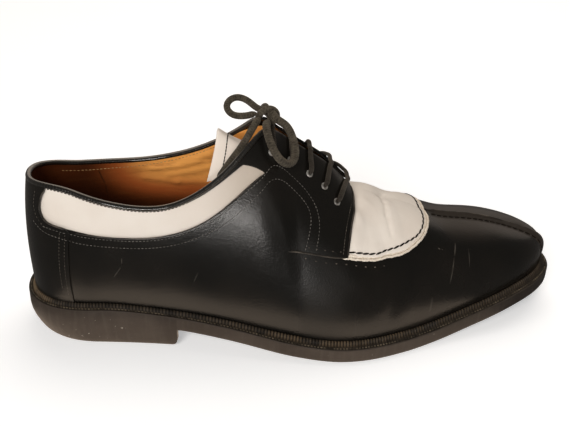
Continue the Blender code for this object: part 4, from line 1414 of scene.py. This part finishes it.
PITCH_FRONT, PITCH_BACK, PITCH_POWER = 1.6, 4.9, 1.7
HEEL_PROUD = 0.08


def make_heel(leather):
    """Heel block: pitched in at the back, eased below and at its front corner."""
    def pitch(x):
        return PITCH_FRONT + PITCH_BACK * np.clip(1 - x / HEEL_BREAST, 0, 1) ** 2

    def front_corner(x):
        past = np.clip(x - HEEL_BREAST + HEEL_CORNER, 0, HEEL_CORNER)
        return HEEL_CORNER - np.sqrt(HEEL_CORNER ** 2 - past ** 2)

    def heel_ring(part, inset):
        return (lambda x: pitch(x) * part ** PITCH_POWER - HEEL_PROUD + inset,
                lambda x: np.maximum((sole_bottom(x) + 0.4) * (1 - part), front_corner(x)))

    profile = [(same(0.6), above_sole(WELT_TOP - 0.45)), (same(0.1), above_sole(WELT_TOP - 0.5)),
               (same(-HEEL_PROUD), above_sole(WELT_TOP - 0.8)), (same(-HEEL_PROUD), above_sole(2.4))]
    profile += [heel_ring(part, 0.0) for part in (0.0, 0.2, 0.4, 0.6, 0.76)]
    eased_foot = ((0.84, 0.15), (0.92, 0.6), (0.975, 1.4), (1.0, 2.5))
    profile += [heel_ring(part, inset) for part, inset in eased_foot]
    u = np.linspace(0, float(station_u(HEEL_BREAST - HEEL_CORNER)), 59)
    turn = np.linspace(0, math.pi / 2, 9)[1:]
    u = np.concatenate([u, station_u(HEEL_BREAST - HEEL_CORNER * (1 - np.sin(turn)))])
    piece = loop_piece("heel_block", u, profile, leather, close_front=True)
    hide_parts("heel")


def perimeter(count):
    """Evenly spaced points round the welt's edge, with the inward direction at each."""
    steps = np.linspace(0, 1, 900)
    ring = np.concatenate([outline(steps, LATERAL), outline(steps[::-1], MEDIAL)[1:]])
    run = chord(ring)
    points = read_rows(np.linspace(0, run[-1], count + 1), run, ring)
    ahead = unit(np.roll(points[:-1], -1, axis=0) - np.roll(points[:-1], 1, axis=0))
    ahead = np.concatenate([ahead, ahead[:1]])
    return points, np.stack([-ahead[:, 1], ahead[:, 0]], -1)


WELT_TICKS = 400
TICK_STEPS = 4
GROOVE = 1.35
WeltRow = namedtuple("WeltRow", "from_bead inset over_top notch")
WELT_SHAPE = [WeltRow(*row) for row in (
    (0, 0.9, -3.4, 0), (0, 0.05, -3.4, 0), (0, 0, -2.5, 0), (0, 0, -0.6, 0), (0, 0.35, -0.1, 0.1),
    (0, 0.9, 0, 0.3), (0, GROOVE, -0.35, 0.35), (0, 1.8, 0, 0.4), (1, -2.0, 0, 0.45), (1, -1.75, 1.0, 0.6),
    (1, -1.35, 1.95, 0.8), (1, -0.75, 2.35, 0.65), (1, -0.15, 2.1, 0.25), (1, 0.3, 1.0, 0),
    (1, 0.6, -0.6, 0),
)]


def make_welt(leather, pale):
    """Storm welt: flat rim with a sewn groove, and a bead against the upper, wheeled all round."""
    count = WELT_TICKS * TICK_STEPS
    points, inward = perimeter(count)
    last = len(WELT_SHAPE) - 1

    def lay(a, b):
        i = np.rint(a * count).astype(int)
        row = WeltRow(*np.array(WELT_SHAPE)[np.rint(b * last).astype(int)].T)
        bead = section["inset"](points[i, 0]) - SEAT
        notch = row.notch * (1 - np.abs(np.sin(np.pi * i / TICK_STEPS)) ** 1.5)
        inset = row.from_bead * bead + row.inset + notch * 0.5
        flat = points[i] + inward[i] * inset[:, None]
        z = sole_bottom(flat[:, 0]) + WELT_TOP + row.over_top - notch
        return with_z(flat, z), np.stack([i / TICK_STEPS, b], -1)

    mesh = grid_mesh("welt_ring", count, last, lay, weld=True)
    piece = add_mesh("welt_ring", mesh, leather, crease=80.0)
    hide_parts("welt")
    spots, across = perimeter(WELT_TICKS)
    flat = spots[:-1] + across[:-1] * GROOVE
    spots = with_z(flat, sole_bottom(flat[:, 0]) + WELT_TOP + 0.05)
    ahead = unit(np.roll(spots, -1, axis=0) - spots)
    rows = [(spot, forward, UP, 0.62, 0.48, 0.36) for spot, forward in zip(spots, ahead)]
    scatter("welt_stitches", rows, pale)


def make_sock(tan):
    """Insole cover that shows inside the shoe, dished under the heel."""
    def lay(a, b):
        u = 0.5 - 0.5 * np.cos(np.pi * a)
        x = station_x(u)
        inset = section["inset"](x) + UPPER_WALL + 2 * SEAT
        lateral = inset_edge(u, LATERAL, inset)
        medial = inset_edge(u, MEDIAL, inset)
        flat = lateral + (medial - lateral) * b[:, None]
        dish = 0.8 * 4 * b * (1 - b) * (1 - smoothstep(20, 120, flat[:, 0]))
        z = sole_bottom(flat[:, 0]) + FEATHER + INSOLE_THICK - dish
        return with_z(flat, z), np.stack([a, b], -1)

    piece = panel("sock", (120, 30), lay, tan, SOCK_LEATHER, weld=True, even=False)
    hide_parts("insole")


# Eyelets and lace

EYELET_FLANGE = ((1.2, -2.2), (1.2, 0.08), (1.28, 0.22), (1.45, 0.28), (1.62, 0.22), (1.75, 0.06),
                 (1.8, -0.2))


def eyelet_spot(eyelet, side):
    """Centre on the facing and direction out of it."""
    u = station_u(np.array([eyelet.x]))
    v = np.array([eyelet.height])
    sides = np.array([float(side)])
    height = facing_height(station_x(u), v, sides)
    return lift(u, v, sides, height)[0], normal(u, v, sides)[0]


def make_eyelets(steel):
    for name, side in SIDES.items():
        for number, eyelet in enumerate(EYELETS, 1):
            centre, out = eyelet_spot(eyelet, side)
            turn = Vector(out).to_track_quat("Z", "X").to_matrix().to_4x4()
            label = f"ring_{name}_{number}"
            mesh = bpy.data.meshes.new(label)
            with opened(mesh) as bm:
                verts = [bm.verts.new((radius * MM, 0, height * MM)) for radius, height in EYELET_FLANGE]
                edges = [bm.edges.new(pair) for pair in zip(verts, verts[1:])]
                bmesh.ops.spin(bm, geom=verts + edges, cent=(0, 0, 0), axis=(0, 0, 1), angle=2 * math.pi,
                               steps=24, use_merge=True)
                bmesh.ops.remove_doubles(bm, verts=bm.verts, dist=1e-6)
                bmesh.ops.recalc_face_normals(bm, faces=bm.faces)
                spot = Matrix.Translation(Vector(place(centre)))
                bmesh.ops.transform(bm, matrix=spot @ turn, verts=bm.verts)
            piece = add_mesh(label, mesh, steel, crease=50.0)
            give_wall(piece, EYELET_SHEET)
            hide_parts(f"eyelet_{name}_{number}")


BAR_LIE = ((0.0, -1.6), (0.02, 0.2), (0.16, 1.0), (0.4, 0.65), (0.65, 0.3), (0.85, 0.25), (1.0, 0.35))
BAR_WIDE, BAR_DEEP = 2.9, 2.1


def bar_route(eyelet):
    """Out of the lateral eyelet, over both facings and into the medial one."""
    runs = {}
    ups = {}
    part, clear = np.array(BAR_LIE).T
    for side in SIDES.values():
        x = eyelet.x + (eyelet.bar_x - eyelet.x) * part
        v = eyelet.height + (1 - eyelet.height) * part
        sides = np.full_like(x, float(side))
        height = facing_height(x, v, sides) + clear + BAR_DEEP / 2
        runs[side] = over_upper(x, v, sides, height)
        ups[side] = normal(station_u(x), v, sides)
    middle = (runs[LATERAL][-1] + runs[MEDIAL][-1]) / 2 - UP * eyelet.sag
    up = unit(ups[LATERAL][-1] + ups[MEDIAL][-1])
    points = np.concatenate([runs[LATERAL], [middle], runs[MEDIAL][::-1]])
    return points, np.concatenate([ups[LATERAL], [up], ups[MEDIAL][::-1]])


def make_bars(cord):
    for number, eyelet in enumerate(EYELETS, 1):
        points, ups = bar_route(eyelet)
        path = smooth_route(points, 0.9)
        at = chord(points)
        up = read_rows(np.linspace(0, 1, len(path)), at / at[-1], ups)
        piece = sweep(f"bar_{number}", path, up, BAR_DEEP / 2, BAR_WIDE / 2, cord, "lace_cord")
        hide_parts(f"lace_bar_{number}")


BOW_WIDE, BOW_DEEP = 4.2, 3.2
LOOK = np.array((-0.13, -0.87, 0.47))


def bow_cord(name, node, route, cord, wide=BOW_WIDE, deep=BOW_DEEP, face=LOOK):
    """One free stretch of the lace, its flat side turned outwards."""
    path = smooth_route(route, 1.1)
    piece = sweep(name, path, face, deep / 2, wide / 2, cord, "lace_cord", sides=14)
    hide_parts(node)


KNOT_WRAP = ((126.5, -3.0, 116.5), (126.6, -3.6, 120.6), (128.8, -4.0, 123.2), (132.0, -3.6, 124.2),
             (135.0, -2.6, 122.6), (136.2, -1.4, 119.4), (135.4, -0.6, 116.6))
LOOP_LATERAL_INTO_KNOT = ((133.2, -6.0, 122.4), (131.4, -2.6, 122.6))
LOOP_MEDIAL_INTO_KNOT = ((129.0, 2.2, 121.4), (131.0, -0.6, 121.6))
KNOT_UNDER = ((133.6, -9.5, 117.6), (133.2, -6.0, 119.4), (132.0, -1.5, 120.6), (130.6, 3.0, 120.2),
              (130.0, 7.0, 118.4))


def make_bow(cord):
    wrap = sweep("knot", smooth_route(KNOT_WRAP, 1.0), (0, -1, 0.2), 2.3, 1.7, cord, "lace_cord", sides=14)
    sweep("knot_turn", smooth_route(KNOT_UNDER, 1.0), (0, 0, 1), 1.9, 2.2, cord, "lace_cord", sides=14)
    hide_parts("lace_knot")
    half = BOW_DEEP / 2
    lie = np.array(END_MEDIAL_LIE)
    rest = over_upper(lie[:, 0], lie[:, 1], np.full(len(lie), float(MEDIAL)), lie[:, 2] + half)
    end_medial = np.concatenate([[END_MEDIAL_START], rest])
    loop_lateral = LOOP_LATERAL + LOOP_LATERAL_INTO_KNOT
    loop_medial = LOOP_MEDIAL + LOOP_MEDIAL_INTO_KNOT
    bow_cord("bow_loop_lateral", "lace_loop_lateral", loop_lateral, cord)
    bow_cord("bow_loop_medial", "lace_loop_medial", loop_medial, cord, 3.6, 2.8)
    bow_cord("bow_end_lateral", "lace_end_lateral", END_LATERAL, cord, 3.8, 2.9)
    bow_cord("bow_end_medial", "lace_end_medial", end_medial, cord, 3.6, 2.8, (0, 1, 0.3))


# Camera, light and floor

TARGET = (142.65, 0.0, 60.42)
AZIMUTH, ELEVATION, ROLL = -8.23, 28.32, 2.15
DISTANCE = 458.14
FOCAL_PIXELS, IMAGE_WIDTH = 820.57, 570
SENSOR = 36.0


def make_camera():
    """Camera at the photograph's angle, rolled a little as it was held."""
    azimuth, elevation, roll = (math.radians(angle) for angle in (AZIMUTH, ELEVATION, ROLL))
    back = Vector((math.sin(azimuth) * math.cos(elevation), -math.cos(azimuth) * math.cos(elevation),
                   math.sin(elevation)))
    right = (-back).cross(Vector((0, 0, 1))).normalized()
    up = right.cross(-back)
    right, up = (right * math.cos(roll) + up * math.sin(roll), up * math.cos(roll) - right * math.sin(roll))
    data = bpy.data.cameras.new("camera")
    data.sensor_width = SENSOR
    data.lens = FOCAL_PIXELS * SENSOR / IMAGE_WIDTH
    data.clip_start = 0.01
    camera = link("camera", data)
    turn = Matrix((right, up, back)).transposed().to_4x4()
    spot = Vector(place(TARGET)) + back * DISTANCE * MM
    camera.matrix_world = Matrix.Translation(spot) @ turn
    bpy.context.scene.camera = camera


Lamp = namedtuple("Lamp", "name spot aim size power tint mirrored")
LAMPS = (
    Lamp("soft_box", (0.30, 0.55, 1.30), (0, 0, 0.03), (1.4, 1.0), 9.5, (1.0, 0.94, 0.87), False),
    Lamp("far_window", (0.25, 1.25, 0.50), (0, 0, 0.05), (2.2, 0.7), 2.0, (1.0, 0.86, 0.74), True),
    Lamp("key", (-0.55, -1.10, 0.80), (0, 0, 0.06), (0.5, 0.5), 11.8, (1.0, 0.95, 0.89), False),
    Lamp("window", (-0.30, -1.40, 0.175), (0, 0, 0.07), (0.16, 0.12), 3.2, (1.0, 0.96, 0.92), True),
    Lamp("far_strip", (0.05, 0.90, 1.02), (0, 0, 0.07), (1.6, 0.08), 1.3, (1.0, 0.86, 0.74), True),
    Lamp("front_window", (0.15, -1.40, 0.43), (0, 0, 0.09), (0.7, 0.3), 0.55, (1.0, 0.94, 0.88), True),
)
FLOOR_HALF = 3000.0
CARD_EDGE = ((-12, -62), (32, -67), (62, -69), (82, -74), (102, -84), (132, -100), (192, -108), (232, -104),
             (272, -88))
CARD_NEAR, CARD_DEPTH = 20.0, -0.4
WORLD_TINT, WORLD_STRENGTH = (1.0, 0.92, 0.84, 1.0), 0.13


def add_lamp(lamp):
    data = bpy.data.lights.new(lamp.name, "AREA")
    data.shape = "RECTANGLE"
    data.size, data.size_y = lamp.size
    data.energy = lamp.power
    data.color = lamp.tint
    light = link(lamp.name, data)
    light.location = lamp.spot
    light.rotation_euler = (Vector(lamp.aim) - Vector(lamp.spot)).to_track_quat("-Z", "Y").to_euler()
    light.visible_glossy = lamp.mirrored


def floor_lay(a, b):
    flat = MIDDLE[:2] + (2 * np.stack([a, b], -1) - 1) * FLOOR_HALF
    return with_z(flat, np.zeros_like(a)), np.stack([a, b], -1)


def card_lay(a, b):
    """Strip of the floor beside the lateral sole, in the shoemaker's millimetres."""
    edge = np.array(CARD_EDGE, float)
    x = edge[0, 0] + (edge[-1, 0] - edge[0, 0]) * a
    far = np.interp(x, edge[:, 0], edge[:, 1])
    y = far + (CARD_NEAR - far) * b + MIDDLE[1]
    return np.stack([x, y, np.full_like(x, CARD_DEPTH)], -1), np.stack([a, b], -1)


def add_sheet(name, columns, lay, material):
    """Flat sheet of the stage."""
    sheet = link(name, grid_mesh(name, columns, 1, lay))
    sheet.data.materials.append(material)
    return sheet


def make_studio():
    """Pale floor, lamps round the shoe, and a warm card under it that only the lower wall mirrors."""
    material, _, _ = new_finish("pale_floor", Specular_IOR_Level=0.0, Roughness=0.8,
                                Base_Color=(0.87, 0.885, 0.91),
                                Emission_Color=(0.97, 0.985, 1.0), Emission_Strength=0.40)
    add_sheet("floor", 1, floor_lay, material).visible_glossy = False
    material, _, lie = new_finish("warm_card", Specular_IOR_Level=0.0, Base_Color=(0, 0, 0),
                                  Emission_Strength=1.9)
    fade = lie.part(0).between(0.66, 0.86)
    connect(material, Emission_Color=fade.blend((1.0, 0.80, 0.62), (0.75, 0.60, 0.465)))
    card = add_sheet("card", 40, card_lay, material)
    for ray in ("camera", "diffuse", "transmission", "shadow", "volume_scatter"):
        setattr(card, "visible_" + ray, False)
    world = bpy.data.worlds.new("studio")
    world.use_nodes = True
    background = world.node_tree.nodes["Background"].inputs
    background["Color"].default_value = WORLD_TINT
    background["Strength"].default_value = WORLD_STRENGTH
    bpy.context.scene.world = world
    for lamp in LAMPS:
        add_lamp(lamp)
    bpy.context.scene.view_settings.view_transform = "Standard"


def main():
    make_camera()
    # One lace in two copies: the bars' darker copy is painted shade beside the bow's lighter one
    make_bow(waxed_lace())
    make_bars(waxed_lace("bar_lace", (0.010, 0.0085, 0.007), (0.036, 0.030, 0.024)))
    black = black_calf()
    tan = tan_lining()
    pale_thread = thread("pale_thread", (0.065, 0.061, 0.055), (0.185, 0.172, 0.155))
    dull_thread = thread("dull_thread", (0.035, 0.030, 0.025), (0.13, 0.11, 0.09))
    dark_thread = thread("dark_thread", (0.006, 0.0048, 0.0038), (0.016, 0.0125, 0.009), 0.75, 0.12)
    welt_thread = thread("welt_thread", (0.022, 0.018, 0.014), (0.15, 0.12, 0.085))
    cream_thread = thread("cream_thread", (0.30, 0.17, 0.07), (0.62, 0.40, 0.19))
    make_walls(black)
    # Copies of the white calf at different brightness stand in for light and shade: the insert's copy
    # darker, the plug's lighter, the tongue's lightest
    insert_calf = white_calf("insert_calf", 0.83, True)
    for name, side in SIDES.items():
        make_facing(name, side, black)
        make_insert(name, side, insert_calf)
    make_counter(black)
    make_plug(white_calf("plug_calf", 0.95))
    make_plug_rim(cut_edge())
    # Edge leather for the toe crest, the tab edges and the insert frames: worn brown-grey and lit by a
    # painted highlight
    worn = worn_and_highlit_edge()
    make_toe_seam(black, worn, dark_thread)
    make_edges(worn)
    make_binding(binding_calf())
    make_lining(tan)
    make_lining_row(cream_thread)
    make_tongue(white_calf("tongue_calf", 1.08), tan, dark_thread)
    make_stitches(pale_thread, dull_thread, dark_thread)
    leather = sole_leather()
    make_sole(leather)
    make_heel(leather)
    make_welt(welt_leather(), welt_thread)
    make_sock(tan_lining("sock_leather", (0.24, 0.078, 0.022)))
    make_eyelets(eyelet_steel())
    make_studio()


main()
